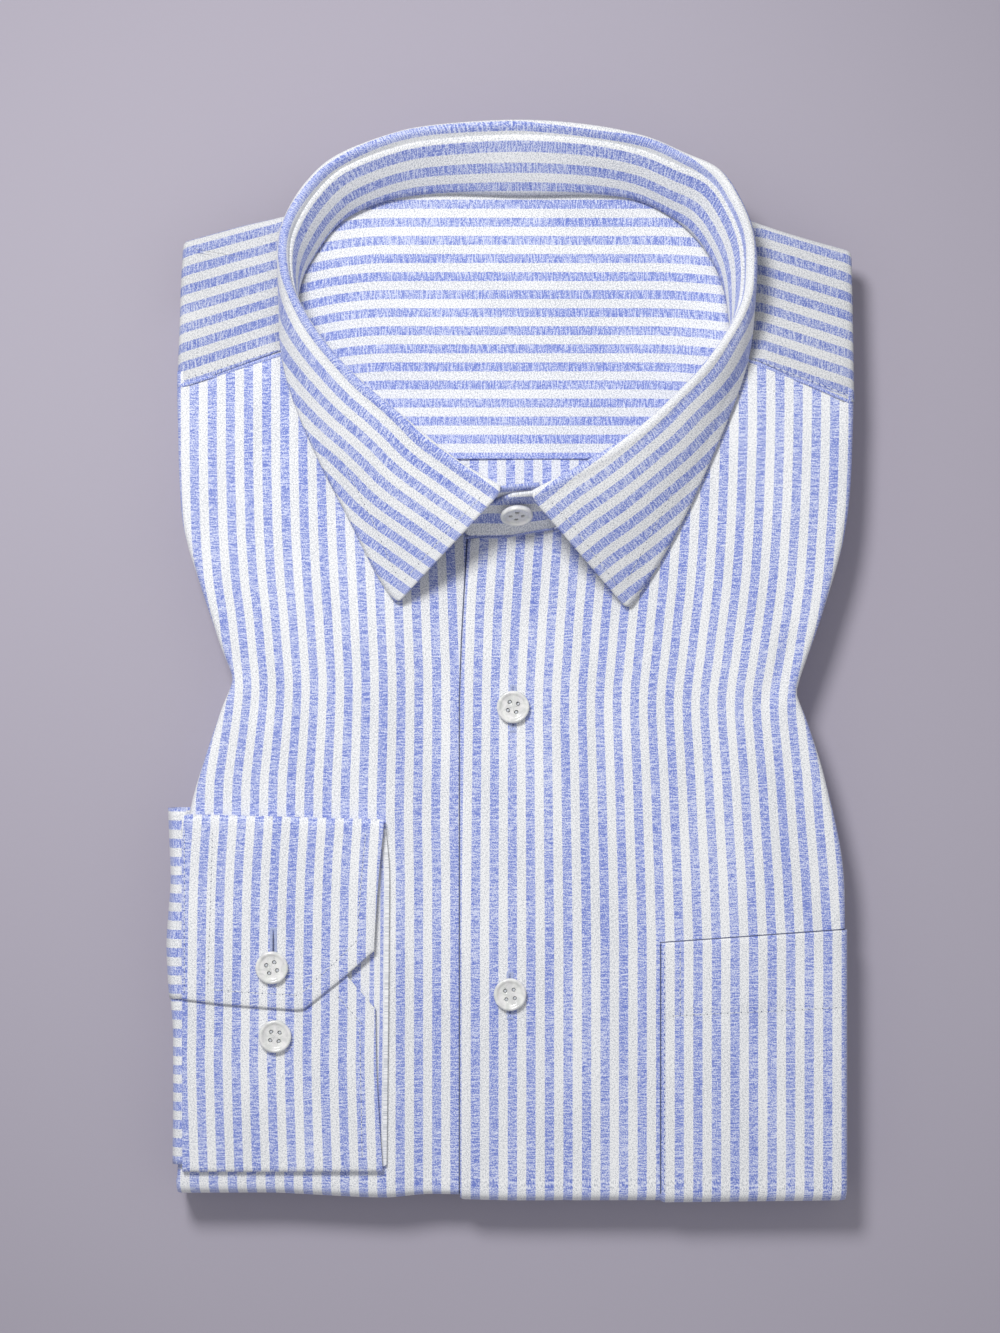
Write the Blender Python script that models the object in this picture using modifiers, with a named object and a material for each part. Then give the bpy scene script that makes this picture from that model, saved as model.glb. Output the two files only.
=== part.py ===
"""A folded long-sleeved dress shirt, lying face up with its collar buttoned.

Metres, +Z up. The origin is on the table under the middle of the shirt, +X runs to the
wearer's left front and +Y towards the collar. Sizes below are in millimetres.
"""

import math

import bmesh
import bpy
from mathutils import Matrix, Vector

MM = 0.001

# Cloth
WALL = 1.2  # body cloth, shown as one firm wall
COLLAR_WALL = 1.3  # interlined collar and band
SEAM_GAP = 0.3
SLEEVE_WALL = 2.2  # both layers of the flattened sleeve

# Heights above the table
TOP = 22.0  # face of the fronts
MIDDLE = 11.0  # between the fronts and the tail folded under them
SIDE_DEPTH = 9.0  # how far a side fold reaches down
FLOOR = 14.6  # inside of the yoke, seen through the neck
SEAM_DROP = 1.0  # body cloth lies this far below the neck seam

# Folds
SIDE_TURN = 5.0  # width of the rounding of a side fold
SIDE_TUCK = 9.0  # hidden return of a side fold
BOTTOM_TURN = 8.0  # length of the rounding of the bottom fold
SQUARENESS = 2.6  # 2 is an ellipse, more is squarer
TAIL_HEM = 118.0  # y of the hem of the folded tail, underneath
TAIL_INSET = 1.2  # the tail lies this far inside the outline
NECK_MARGIN = 1.8  # body cloth starts this far outside the neck seam
NECK_MIDDLE = (2.2, 104.0)

# Front overlap
OVERLAP_STEP = 1.6  # the lower front dips this far under the upper one
LOWER_FRONT_REACH = 14.0  # x where the lower front ends under the upper one

# Buttons
BUTTON_WIDTH = 11.4
COLLAR_BUTTON_WIDTH = 10.6
HOLE_WIDTH = 1.7
HOLE_SPREAD = 1.25

# The side folds: y, x
LEFT_EDGE = (
    (-183, -112.5), (-172, -112.3), (-170, -111.3), (-90, -111.2), (-62, -109.8), (-47, -107.1),
    (-28, -101.0), (-16, -96.9), (-10, -94.3), (-7, -93.1), (-4, -93.8), (4, -97.2),
    (34, -107.1), (44, -110.2), (60, -111.4), (93, -112.2), (120, -111.6),
)
RIGHT_EDGE = (
    (-183, 112.8), (-80, 112.8), (-69, 112.3), (-56, 109.9), (-35, 104.7), (-20, 99.7),
    (-14, 97.2), (-11, 96.2), (-5, 97.9), (12, 104.0), (34, 110.8), (44, 113.2),
    (60, 114.9), (88, 115.8), (120, 115.4),
)
# The bottom fold: x, y
BOTTOM_EDGE = ((-113, -180.2), (-37, -181.4), (0, -182.0), (52, -181.7), (113, -181.2))
# The edge of the upper front: y, x
OVERLAP_EDGE = ((-183, -16.9), (-13, -16.9), (7, -16.2), (41, -14.2))

# Collar sections from the wearer's right front, round the back of the neck, to the left front:
# seam x, y, z; fold x, y, z; outer edge x, y, z
COLLAR = (
    (-9.0, 43.6, 22.9, -3.4, 56.9, 46.0, -38.0, 20.2, 23.5),
    (-22.0, 51.0, 23.0, -18.9, 66.3, 43.0, -45.0, 29.0, 23.5),
    (-40.0, 65.0, 22.6, -35.8, 80.2, 40.0, -54.5, 48.0, 23.6),
    (-55.0, 81.0, 22.0, -50.9, 93.2, 38.0, -64.5, 67.5, 23.7),
    (-65.0, 95.0, 21.3, -61.4, 104.3, 37.0, -72.6, 86.5, 23.7),
    (-71.5, 106.0, 20.6, -69.6, 116.2, 36.4, -77.0, 103.0, 23.4),
    (-72.6, 119.0, 20.0, -75.0, 128.0, 36.0, -77.9, 119.0, 22.8),
    (-70.8, 129.5, 19.2, -76.0, 139.8, 35.5, -78.2, 132.5, 22.2),
    (-66.0, 138.6, 18.3, -73.8, 148.6, 34.5, -76.2, 144.5, 21.4),
    (-59.5, 147.4, 17.4, -67.6, 159.0, 33.0, -69.6, 157.5, 14.0),
    (-52.0, 152.6, 16.8, -57.7, 167.0, 32.0, -58.0, 165.0, 8.0),
    (-40.0, 157.0, 16.4, -41.8, 175.0, 31.0, -42.0, 169.5, 5.0),
    (-24.0, 158.8, 16.3, -26.0, 178.6, 30.3, -25.5, 171.5, 3.6),
    (2.2, 158.3, 16.3, 2.2, 180.4, 30.0, 2.2, 172.5, 3.2),
    (27.0, 158.5, 16.3, 26.0, 178.8, 30.3, 25.5, 171.5, 3.6),
    (42.0, 157.0, 16.4, 45.0, 175.8, 31.0, 44.0, 169.5, 5.0),
    (53.0, 152.0, 16.8, 58.7, 170.4, 32.0, 59.5, 166.0, 8.0),
    (61.0, 145.8, 17.4, 69.2, 163.8, 33.0, 71.0, 159.0, 14.0),
    (67.6, 137.6, 18.3, 76.2, 153.3, 34.5, 79.0, 147.5, 21.4),
    (72.0, 128.5, 19.2, 80.2, 141.8, 35.5, 82.4, 134.5, 22.2),
    (74.3, 118.0, 20.0, 80.7, 127.8, 36.0, 82.4, 118.0, 22.8),
    (75.0, 104.6, 20.6, 77.3, 116.0, 36.4, 80.6, 103.5, 23.4),
    (70.0, 93.5, 21.3, 68.6, 102.2, 37.0, 77.0, 91.0, 23.7),
    (60.0, 78.0, 22.0, 56.4, 88.6, 38.0, 69.5, 72.0, 23.7),
    (46.0, 63.0, 22.6, 42.8, 76.3, 40.0, 59.6, 50.0, 23.6),
    (27.0, 50.0, 23.0, 25.1, 64.8, 43.0, 49.2, 31.0, 23.5),
    (13.0, 44.4, 23.3, 7.4, 55.2, 46.0, 39.4, 18.4, 23.5),
)
# The band's buttoned ends beyond those sections: seam x, y, z; top x, y, z
BAND_UNDER_END = ((0.0, 44.8, 22.5, 1.6, 58.2, 43.4), (9.5, 46.6, 22.7, 10.0, 59.0, 42.0))
BAND_OVER_END = ((2.0, 42.5, 23.7, 1.0, 54.9, 43.0), (-8.5, 41.8, 24.0, -8.0, 51.3, 38.4))
FOLD_WIDTH = 1.3  # half the width of the fold between band and leaf
FOLD_STANDOFF = 3.2  # the band stops this far below the collar's fold
LEAF_BULGE = 1.6  # the leaf crowns this far between fold and edge

# Yoke sections: collar section, edge x, y, z of the top face, share of a full side fold
YOKE = (
    (5.06, -112.2, 93.5, 22.0, 1.0), (6.0, -111.7, 112.0, 21.7, 1.0), (6.8, -111.4, 128.0, 21.0, 1.0),
    (7.4, -110.8, 140.6, 20.2, 1.0), (8.0, -101.0, 143.5, 19.6, 1.0), (8.6, -91.0, 146.2, 19.0, 1.0),
    (9.2, -80.0, 148.7, 18.3, 1.0), (10.0, -68.0, 153.0, 17.4, 0.8), (11.0, -47.0, 161.5, 16.0, 0.55),
    (12.0, -26.0, 164.6, 15.3, 0.5), (13.0, 2.2, 165.0, 15.1, 0.5), (14.0, 30.0, 164.6, 15.3, 0.5),
    (15.0, 51.0, 161.5, 16.0, 0.55), (16.0, 72.0, 153.5, 17.4, 0.8), (16.8, 84.0, 147.2, 18.3, 1.0),
    (17.4, 93.0, 144.0, 19.0, 1.0), (18.0, 104.0, 140.6, 19.6, 1.0), (18.6, 115.3, 138.2, 20.2, 1.0),
    (19.2, 115.5, 126.0, 21.0, 1.0), (20.0, 115.7, 108.0, 21.7, 1.0), (20.94, 115.8, 88.4, 22.0, 1.0),
)

# Fronts above the waist: collar section the inner end follows, y of the side end
LOWER_FRONT_NECK = ((0.3, 42.0), (1.0, 50.0), (2.0, 60.0), (3.0, 71.0), (4.0, 82.0), (5.0, 92.8))
UPPER_FRONT_NECK = ((26.0, 52.0), (25.0, 59.0), (24.0, 66.0), (23.0, 73.0), (22.0, 80.0), (21.0, 87.8))
LOWER_FRONT_ROWS = (-169, -135, -105, -75, -58, -47, -28, -16, -10, -7, -4, 4, 20, 34)
UPPER_FRONT_ROWS = (-140, -105, -80, -69, -56, -35, -20, -14, -11, -5, 12, 26, 37)
UNDERSIDE_ROWS = (-140, -90, -50, -14, -7, 0, 34, 60, 90)

# The cuff, wound as a flat spiral: x of a column, y of the outer end's edge, y of the inner end's edge
CUFF = (
    (-110.8, -113.9, -90.0), (-92.5, -115.2, -90.0), (-74.4, -116.6, -90.0), (-65.4, -110.0, -90.0),
    (-55.8, -103.0, -104.1), (-45.6, -95.6, -119.0),
)
CUFF_RIGHT = ((-173, -42.6), (-126, -43.6), (-95, -44.8), (-60, -42.8), (-52, -43.0))
CUFF_LOW, CUFF_INNER, CUFF_OUTER = 22.9, 24.7, 26.2  # heights of the three layers' middles
CUFF_TOP_Y, CUFF_BOTTOM_Y = -52.6, -172.6

# The flattened sleeve round the left side: x inside the outline, height; and the outline: y, x
SLEEVE_TURN = (
    (17.0, 11.2), (9.0, 11.2), (4.4, 11.4), (1.7, 12.9), (0.3, 16.0), (0.0, 19.0), (0.4, 22.2),
    (1.2, 23.6), (2.0, 24.1),
)
SLEEVE_EDGE = (
    (-170.6, -113.9), (-150, -113.7), (-125, -113.7), (-110, -115.0), (-96, -115.7), (-75, -114.0),
    (-60, -113.7), (-50.2, -114.3),
)

POCKET_LEFT = 52.4
POCKET_TOP = ((52.4, -95.7), (114.0, -91.3))
POCKET_TURNS = (-0.45, -0.2, 0.0, 0.2, 0.45, 0.72, 1.0)  # round the bottom fold, as shares of a quarter turn
POCKET_SIDE_TURN = -18.0  # degrees

# Hidden layers: the right half of a section, as inset from the edge and height
LAYER_EDGES = (
    (19.0, 18.9), (17.6, 17.8), (17.5, 12.6), (3.4, 12.6), (2.8, 12.1), (3.4, 11.65), (5.5, 11.5),
    (3.0, 11.35), (2.4, 11.0), (3.0, 10.6), (5.5, 10.45), (3.4, 10.3), (2.8, 9.85), (3.4, 9.4),
    (17.5, 9.4), (17.6, 4.2), (19.0, 3.1),
)
# y, height of the top, inset of the left flange beyond the usual, end rounding
LAYER_ROWS = (
    (-168.0, 18.9, 21.0, 2.4), (-166.0, 18.9, 21.0, 0.0), (-110.0, 18.9, 21.0, 0.0),
    (-48.0, 18.9, 21.0, 0.0), (-40.0, 18.9, 0.0, 0.0), (-9.0, 18.9, 0.0, 0.0),
    (20.0, 18.9, 0.0, 0.0), (27.0, 12.7, 0.0, 0.0), (90.0, 12.7, 0.0, 0.0),
    (118.0, 12.7, 0.0, 0.0), (133.0, 12.7, 0.0, 0.0), (134.5, 12.7, 0.0, 1.0), (135.2, 12.7, 0.0, 2.6),
)

COLOURS = {  # base colour, roughness
    "striped_cotton": ((0.55, 0.60, 0.83, 1.0), 0.85),
    "shell_button": ((0.86, 0.86, 0.85, 1.0), 0.25),
}


def table(rows, at):
    """Straight-line reading of a two-column table."""
    if at <= rows[0][0]:
        return rows[0][1]
    for (a, first), (b, second) in zip(rows, rows[1:]):
        if at <= b:
            return first + (second - first) * (at - a) / (b - a)
    return rows[-1][1]


def mix(a, b, share):
    return a + (b - a) * share


def power(value, exponent):
    return math.copysign(abs(value) ** exponent, value)


def collar_at(section, first):
    """A smooth curve through one column group of COLLAR: 0 seam, 3 fold, 6 outer edge."""
    last = len(COLLAR) - 1
    i = min(max(int(section), 0), last - 1)
    share = section - i
    p0, p1, p2, p3 = (Vector(COLLAR[min(max(k, 0), last)][first:first + 3]) for k in range(i - 1, i + 3))
    bend = (p2 - p0) * share + (2 * p0 - 5 * p1 + 4 * p2 - p3) * share**2 + (3 * p1 - p0 - 3 * p2 + p3) * share**3
    return p1 + bend * 0.5


def fold_sides(section):
    """Collar fold at a section: its middle, the outward direction, and the band's and leaf's directions."""
    seam, fold, edge = (collar_at(section, first) for first in (0, 3, 6))
    away = Vector((fold.x - NECK_MIDDLE[0], fold.y - NECK_MIDDLE[1], 0)).normalized()
    rise = (fold - away * FOLD_WIDTH - seam).normalized()
    fall = (edge - fold - away * FOLD_WIDTH).normalized()
    return seam, fold, edge, away, rise, fall


def neck_edge(section):
    """Where body cloth starts outside the neck seam."""
    seam = collar_at(section, 0)
    away = Vector((seam.x - NECK_MIDDLE[0], seam.y - NECK_MIDDLE[1], 0)).normalized()
    return seam + away * NECK_MARGIN - Vector((0, 0, SEAM_DROP))


def material(name):
    found = bpy.data.materials.get(name)
    if found:
        return found
    colour, roughness = COLOURS[name]
    made = bpy.data.materials.new(name)
    made.use_nodes = True
    shader = made.node_tree.nodes["Principled BSDF"]
    shader.inputs["Base Color"].default_value = colour
    shader.inputs["Roughness"].default_value = roughness
    return made


def add_object(name, mesh, material_name, collection):
    mesh.materials.append(material(material_name))
    obj = bpy.data.objects.new(name, mesh)
    collection.objects.link(obj)
    return obj


def add_sheet(name, columns, rows, place, wall, collection, offset=-1.0):
    """A grid whose points go where place(column, row) says, in millimetres, with a cloth wall."""
    bm = bmesh.new()
    bmesh.ops.create_grid(bm, x_segments=columns - 1, y_segments=rows - 1, size=0.5)
    for vert in bm.verts:
        column = round((vert.co.x + 0.5) * (columns - 1))
        row = round((vert.co.y + 0.5) * (rows - 1))
        vert.co = Vector(place(column, row)) * MM
    mesh = bpy.data.meshes.new(name)
    bm.to_mesh(mesh)
    bm.free()
    obj = add_object(name, mesh, "striped_cotton", collection)
    solid = obj.modifiers.new("wall", "SOLIDIFY")
    solid.thickness = wall * MM
    solid.offset = offset
    mesh.shade_smooth()
    return obj


def side_turn(steps, last=-90.0, grow=0.0, depth=SIDE_DEPTH):
    """The rounding of a side fold as (inset, depth) pairs, from the top face round to `last` degrees."""
    wide, half = SIDE_TURN + grow, depth / 2 + grow
    pairs = []
    for i in range(steps + 1):
        angle = math.radians(90 + (last - 90) * i / steps)
        inset = wide * (1 - power(math.cos(angle), 2 / SQUARENESS)) - grow
        pairs.append((inset, depth / 2 - half * power(math.sin(angle), 2 / SQUARENESS)))
    return pairs


def body_point(x, y, turn, depth, side=0, lap=0.0):
    """A point of the body, `depth` down a side fold and `lap` under the outer layer.

    turn is None on the face, 1 to -1 round the bottom fold, or "under".
    """
    if turn is None:
        return (x, y, TOP - depth - lap)
    if turn == "under":
        return (x - side * TAIL_INSET, y, depth + lap)
    angle = math.radians(90 * turn)
    share = 1 - depth / (MIDDLE - lap)
    reach = (BOTTOM_TURN * share**0.3 - lap) * power(math.cos(angle), 2 / SQUARENESS)
    height = (MIDDLE - lap) * power(math.sin(angle), 2 / SQUARENESS) * share
    inset = side * TAIL_INSET * (1 - turn) / 2
    return (x - inset, table(BOTTOM_EDGE, x) + BOTTOM_TURN - reach, MIDDLE + height)


def body_rows(face_rows):
    """Rows from the tail's hem, under the shirt, round the bottom fold and up the face: (y, turn)."""
    rows = [(TAIL_HEM, "under")] + [(y, "under") for y in reversed(UNDERSIDE_ROWS)]
    rows += [(0, turn) for turn in (-1.0, -0.72, -0.45, -0.2, 0.0, 0.2, 0.45, 0.72, 1.0)]
    return rows + [(y, None) for y in face_rows]


def face_height(point_z, share):
    """Body cloth rises or falls from the neck seam to the flat face within the first part of a row."""
    ease = min(share / 0.35, 1.0)
    return mix(point_z, TOP, ease * ease * (3 - 2 * ease))


def add_lower_front(collection):
    """The wearer's right front, whose free edge lies under the other front."""
    turns = side_turn(6)
    hidden = ((LOWER_FRONT_REACH, OVERLAP_STEP), (-17.4, OVERLAP_STEP), (-21.5, 0.0))
    flat = (0.25, 0.5, 0.75)
    rows = body_rows(LOWER_FRONT_ROWS)
    count = len(hidden) + len(flat) + len(turns) + 1

    def place(column, row):
        column = count - 1 - column
        if row < len(rows):
            y, turn = rows[row]
            inner = None
        else:
            section, y = LOWER_FRONT_NECK[row - len(rows)]
            turn, inner = None, neck_edge(section)
        edge = table(LEFT_EDGE, y if turn in (None, "under") else -181)
        fold_start = edge + SIDE_TURN
        if column < len(hidden) and inner is None:
            x, lap = hidden[column]
            return body_point(x, y, turn, 0.0, lap=lap)
        if column < len(hidden) + len(flat):
            if inner is None:
                x = mix(hidden[-1][0], fold_start, flat[column - len(hidden)])
                return body_point(x, y, turn, 0.0)
            share = column / (len(hidden) + len(flat))
            share = share**1.3
            dip = OVERLAP_STEP if column == 0 and section < 1 else 0.0
            height = face_height(inner.z, share) - dip
            return (mix(inner.x, fold_start, share), mix(inner.y, y, share), height)
        column -= len(hidden) + len(flat)
        inset, depth = turns[column] if column < len(turns) else (SIDE_TURN + SIDE_TUCK, SIDE_DEPTH)
        return body_point(edge + inset, y, turn, depth, side=-1)

    add_sheet("right_front", count, len(rows) + len(LOWER_FRONT_NECK), place, WALL, collection)


def upper_front_place(rows, turns, tuck, grow=0.0, start=None, columns_flat=6):
    """Points of the wearer's left front, or of a patch of it moved out by `grow`."""
    flat_shares = [i / columns_flat for i in range(columns_flat)]

    def place(column, row):
        inner = None
        if row < len(rows):
            y, turn = rows[row]
        else:
            section, y = UPPER_FRONT_NECK[row - len(rows)]
            turn, inner = None, neck_edge(section)
        edge = table(RIGHT_EDGE, y if turn in (None, "under") else -181)
        fold_start = edge - SIDE_TURN
        if column < columns_flat:
            share = flat_shares[column]
            if inner is None:
                left = start if start is not None else table(OVERLAP_EDGE, y if turn in (None, "under") else -181)
                return body_point(mix(left, fold_start, share), y, turn, 0.0, lap=-grow)
            share = share**1.2
            return (mix(inner.x, fold_start, share), mix(inner.y, y, share), face_height(inner.z, share))
        column -= columns_flat
        inset, depth = turns[column] if column < len(turns) else tuck
        return body_point(edge - inset, y, turn, depth + grow, side=1, lap=-grow)

    return place


def add_upper_front(collection):
    """The wearer's left front, which laps over the other."""
    turns = side_turn(6)
    rows = body_rows(UPPER_FRONT_ROWS) + [(41.0, None)]
    place = upper_front_place(rows, turns, (SIDE_TURN + SIDE_TUCK, SIDE_DEPTH))
    count = 6 + len(turns) + 1
    add_sheet("left_front", count, len(rows) + len(UPPER_FRONT_NECK), place, WALL, collection)


def add_pocket(collection):
    """A patch of the left front moved out, round the side fold and part of the bottom fold."""
    grow = WALL + 2 * SEAM_GAP
    turns = side_turn(4, POCKET_SIDE_TURN, grow)
    rows = [(0, turn) for turn in POCKET_TURNS]
    face = [0.0, 0.33, 0.66, 1.0]
    flat = 4
    inner_place = upper_front_place(rows, turns, None, grow, POCKET_LEFT, flat)

    def place(column, row):
        if row < len(rows):
            return inner_place(column, row)
        low = Vector(inner_place(column, len(rows) - 1))
        share = face[row - len(rows) + 1]
        top = mix(POCKET_TOP[0][1], POCKET_TOP[1][1], (low.x - POCKET_LEFT) / (POCKET_TOP[1][0] - POCKET_LEFT))
        return (low.x, mix(low.y, top, share), low.z)

    add_sheet("pocket", flat + len(turns), len(rows) + len(face) - 1, place, WALL, collection)


def add_yoke(collection):
    """Horseshoe over the shoulders, from front seam to front seam, folded at its outer edge."""
    middle_shares = (0.0, 0.35, 0.7)
    steps = 5

    def place(column, row):
        column = len(middle_shares) + steps + 1 - column
        section, x, y, top, share = YOKE[row]
        before, after = YOKE[max(row - 1, 0)], YOKE[min(row + 1, len(YOKE) - 1)]
        along = Vector((after[1] - before[1], after[2] - before[2], 0)).normalized()
        inward = Vector((along.y, -along.x, 0))
        edge, inner = Vector((x, y, top)), neck_edge(section)
        turn_width = min(SIDE_TURN, 0.6 * (edge - inner).length)
        start = edge + inward * turn_width
        if column < len(middle_shares):
            return inner.lerp(start, middle_shares[column])
        column -= len(middle_shares)
        half = max(top - (TOP - SIDE_DEPTH), 4.6) / 2
        if column <= steps:
            angle = math.radians(90 - 180 * share * column / steps)
            inset = turn_width * (1 - power(math.cos(angle), 2 / SQUARENESS))
            depth = half * (1 - power(math.sin(angle), 2 / SQUARENESS))
        else:
            inset = turn_width * (1 - power(math.cos(math.radians(90 - 180 * share)), 2 / SQUARENESS))
            inset += SIDE_TUCK * (2 * share - 1)
            depth = half * (1 - power(math.sin(math.radians(90 - 180 * share)), 2 / SQUARENESS))
            depth += 0.8 * (1 - share)
        return edge + inward * inset - Vector((0, 0, depth))

    add_sheet("yoke", len(middle_shares) + steps + 2, len(YOKE), place, WALL, collection)


def add_yoke_lining(collection):
    """The inner yoke seen through the neck, and below it the back panel's inner face."""
    lower = ((69.0, -71.5, 74.0, 14.8), (84.0, -72.5, 75.5, 15.2), (97.0, -73.0, 76.0, 17.0))
    sections = (5.0, 6.0, 7.0, 8.0, 9.0, 10.0, 11.0, 12.0)
    columns = 11

    def ends(row):
        if row < len(lower):
            y, left, right, height = lower[row]
            return Vector((left, y, height)), Vector((right, y, height))
        section = sections[row - len(lower)]
        pair = []
        for at in (section, len(COLLAR) - 1 - section):
            seam = collar_at(at, 0)
            away = Vector((seam.x - NECK_MIDDLE[0], seam.y - NECK_MIDDLE[1], 0)).normalized()
            drop = 1.4 * max(1.0, 7.0 - section)
            pair.append(seam + away * 0.6 - Vector((0, 0, drop)))
        return pair

    def place(column, row):
        left, right = ends(row)
        share = column / (columns - 1)
        point = left.lerp(right, share)
        sag = 1 - abs(2 * share - 1) ** 4
        point.z = mix(point.z, FLOOR, sag)
        return point

    add_sheet("yoke_lining", columns, len(lower) + len(sections), place, WALL, collection)

    def place_back(column, row):
        return (mix(-70.0, 72.5, column / 6), (32.0, 50.0, 68.6)[row], FLOOR)

    add_sheet("back", 7, 3, place_back, WALL, collection)


def band_sections():
    """Seam and top of the band at each section, with its buttoned ends."""
    pairs = [(Vector(row[:3]), Vector(row[3:])) for row in reversed(BAND_UNDER_END)]
    step = 0.5
    for i in range(int((len(COLLAR) - 1) / step) + 1):
        seam, fold, _, away, rise, _ = fold_sides(i * step)
        pairs.append((seam, fold - away * FOLD_WIDTH - rise * FOLD_STANDOFF))
    return pairs + [(Vector(row[:3]), Vector(row[3:])) for row in BAND_OVER_END]


def add_collar(collection):
    pairs = band_sections()

    def place_band(column, row):
        seam, top = pairs[row]
        return seam.lerp(top, column / 2)

    add_sheet("collar_stand", 3, len(pairs), place_band, COLLAR_WALL, collection, offset=0.0)

    step = 0.5
    rows = int((len(COLLAR) - 1) / step) + 1

    def place_leaf(column, row):
        _, fold, edge, away, rise, fall = fold_sides(row * step)
        if column == 0:
            return fold - away * FOLD_WIDTH - rise * (FOLD_STANDOFF - 1.2)
        if column == 1:
            return fold - away * FOLD_WIDTH * 0.8 - rise * 0.3
        if column == 2:
            return fold + away * FOLD_WIDTH * 0.6 + Vector((0, 0, 0.6))
        share = (column - 3) / 2
        point = (fold + away * FOLD_WIDTH * 1.2 + fall * 2.0).lerp(edge, share)
        bulge = LEAF_BULGE * math.sin(math.pi * share) if column < 5 else 0.0
        return point + Vector((0, 0, bulge))

    add_sheet("collar_fall", 6, rows, place_leaf, COLLAR_WALL, collection, offset=0.0)


def cuff_path():
    """Rows of the cuff from its outer end, over and under, to its inner end: (part, share, angle)."""
    rows = [("outer", share) for share in (0.0, 0.3, 0.6, 1.0)]
    rows += [("top", angle) for angle in (60, 30, 0, -30, -60)]
    rows += [("low", share) for share in (0.0, 0.33, 0.66, 1.0)]
    rows += [("bottom", angle) for angle in (-50, 0, 50)]
    return rows + [("inner", share) for share in (0.0, 0.35, 0.7, 1.0)]


def add_cuff(collection):
    """A flat spiral: the outer end over the top, round the upper fold, under, and back up inside."""
    rows = cuff_path()
    top_radius, bottom_radius = (CUFF_OUTER - CUFF_LOW) / 2, (CUFF_INNER - CUFF_LOW) / 2

    def place(column, row):
        x, outer_y, inner_y = CUFF[min(column, len(CUFF) - 1)]
        kind, value = rows[row]
        high, low = CUFF_TOP_Y - 2 * top_radius, CUFF_BOTTOM_Y + 2 * bottom_radius
        if kind == "outer":
            y, z = mix(outer_y, high, value), CUFF_OUTER
        elif kind == "top":
            angle = math.radians(value)
            y = high + 2 * top_radius * math.cos(angle) ** 0.8
            z = (CUFF_OUTER + CUFF_LOW) / 2 + top_radius * power(math.sin(angle), 0.8)
        elif kind == "low":
            y, z = mix(high, low, value), CUFF_LOW
        elif kind == "bottom":
            angle = math.radians(value)
            y = low - 2 * bottom_radius * math.cos(angle) ** 0.8
            z = (CUFF_INNER + CUFF_LOW) / 2 + bottom_radius * power(math.sin(angle), 0.8)
        else:
            y, z = mix(low, inner_y, value), CUFF_INNER
        if column == len(CUFF) - 1:
            x = table(CUFF_RIGHT, y) + (2.4 if kind == "low" and 0 < value < 1 else 0.0)
        return (x, y, z)

    sheet = add_sheet("cuff", len(CUFF), len(rows), place, WALL, collection, offset=0.0)
    return sheet


def add_sleeve(collection):
    """The flattened sleeve comes out between the layers and turns up round the left side."""
    rows = 9

    def place(column, row):
        y = mix(SLEEVE_EDGE[0][0], SLEEVE_EDGE[-1][0], row / (rows - 1))
        inset, z = SLEEVE_TURN[len(SLEEVE_TURN) - 1 - column]
        edge = table(SLEEVE_EDGE, y)
        x = edge + inset if column > 0 else CUFF[0][0] - 1.3
        return (x, y, z)

    add_sheet("sleeve", len(SLEEVE_TURN), rows, place, SLEEVE_WALL, collection, offset=0.0)


def add_folded_layers(collection):
    """Back, far sleeve and the rest, as one rounded solid whose edges show as layers."""
    half = len(LAYER_EDGES)
    bm = bmesh.new()
    bmesh.ops.create_grid(bm, x_segments=2 * half, y_segments=len(LAYER_ROWS) - 1, size=0.5)
    for vert in bm.verts:
        column = round((vert.co.x + 0.5) * 2 * half)
        y, top, more, rounding = LAYER_ROWS[round((vert.co.y + 0.5) * (len(LAYER_ROWS) - 1))]
        right = column % (2 * half) < half
        inset, z = LAYER_EDGES[column if column < half else (2 * half - 1 - column) % half]
        if column == 2 * half:
            inset, z, right = LAYER_EDGES[0][0], LAYER_EDGES[0][1], True
        if z > 12.6:
            z = top - (LAYER_EDGES[0][1] - z) * (top - 12.6) / (LAYER_EDGES[0][1] - 12.6)
        if not right and inset < 10:
            inset += more * 0.99
        edge = table(RIGHT_EDGE if right else LEFT_EDGE, y)
        x = edge - inset - rounding if right else edge + inset + rounding
        z = mix(z, MIDDLE, rounding / 6)
        vert.co = Vector((x, y, z)) * MM
    bmesh.ops.remove_doubles(bm, verts=bm.verts, dist=0.00001)
    bmesh.ops.holes_fill(bm, edges=bm.edges, sides=0)
    bmesh.ops.recalc_face_normals(bm, faces=bm.faces)
    mesh = bpy.data.meshes.new("folded_layers")
    bm.to_mesh(mesh)
    bm.free()
    add_object("folded_layers", mesh, "striped_cotton", collection)


def button_mesh(width):
    """A turned shell button with a rim, a dish and four holes."""
    radius = width / 2
    profile = (
        (0.0, 1.5), (radius * 0.6, 1.5), (radius * 0.78, 2.2), (radius * 0.92, 2.1), (radius, 1.4),
        (radius * 0.94, 0.4), (radius * 0.7, 0.0), (0.0, 0.0),
    )
    bm = bmesh.new()
    verts = [bm.verts.new(Vector((r, 0, z)) * MM) for r, z in profile]
    for first, second in zip(verts, verts[1:]):
        bm.edges.new((first, second))
    bmesh.ops.spin(
        bm, geom=bm.verts[:] + bm.edges[:], cent=(0, 0, 0), axis=(0, 0, 1), angle=2 * math.pi, steps=16, use_merge=True
    )
    bmesh.ops.remove_doubles(bm, verts=bm.verts, dist=0.00001)
    bmesh.ops.recalc_face_normals(bm, faces=bm.faces)
    mesh = bpy.data.meshes.new("button")
    bm.to_mesh(mesh)
    bm.free()
    return mesh


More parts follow.
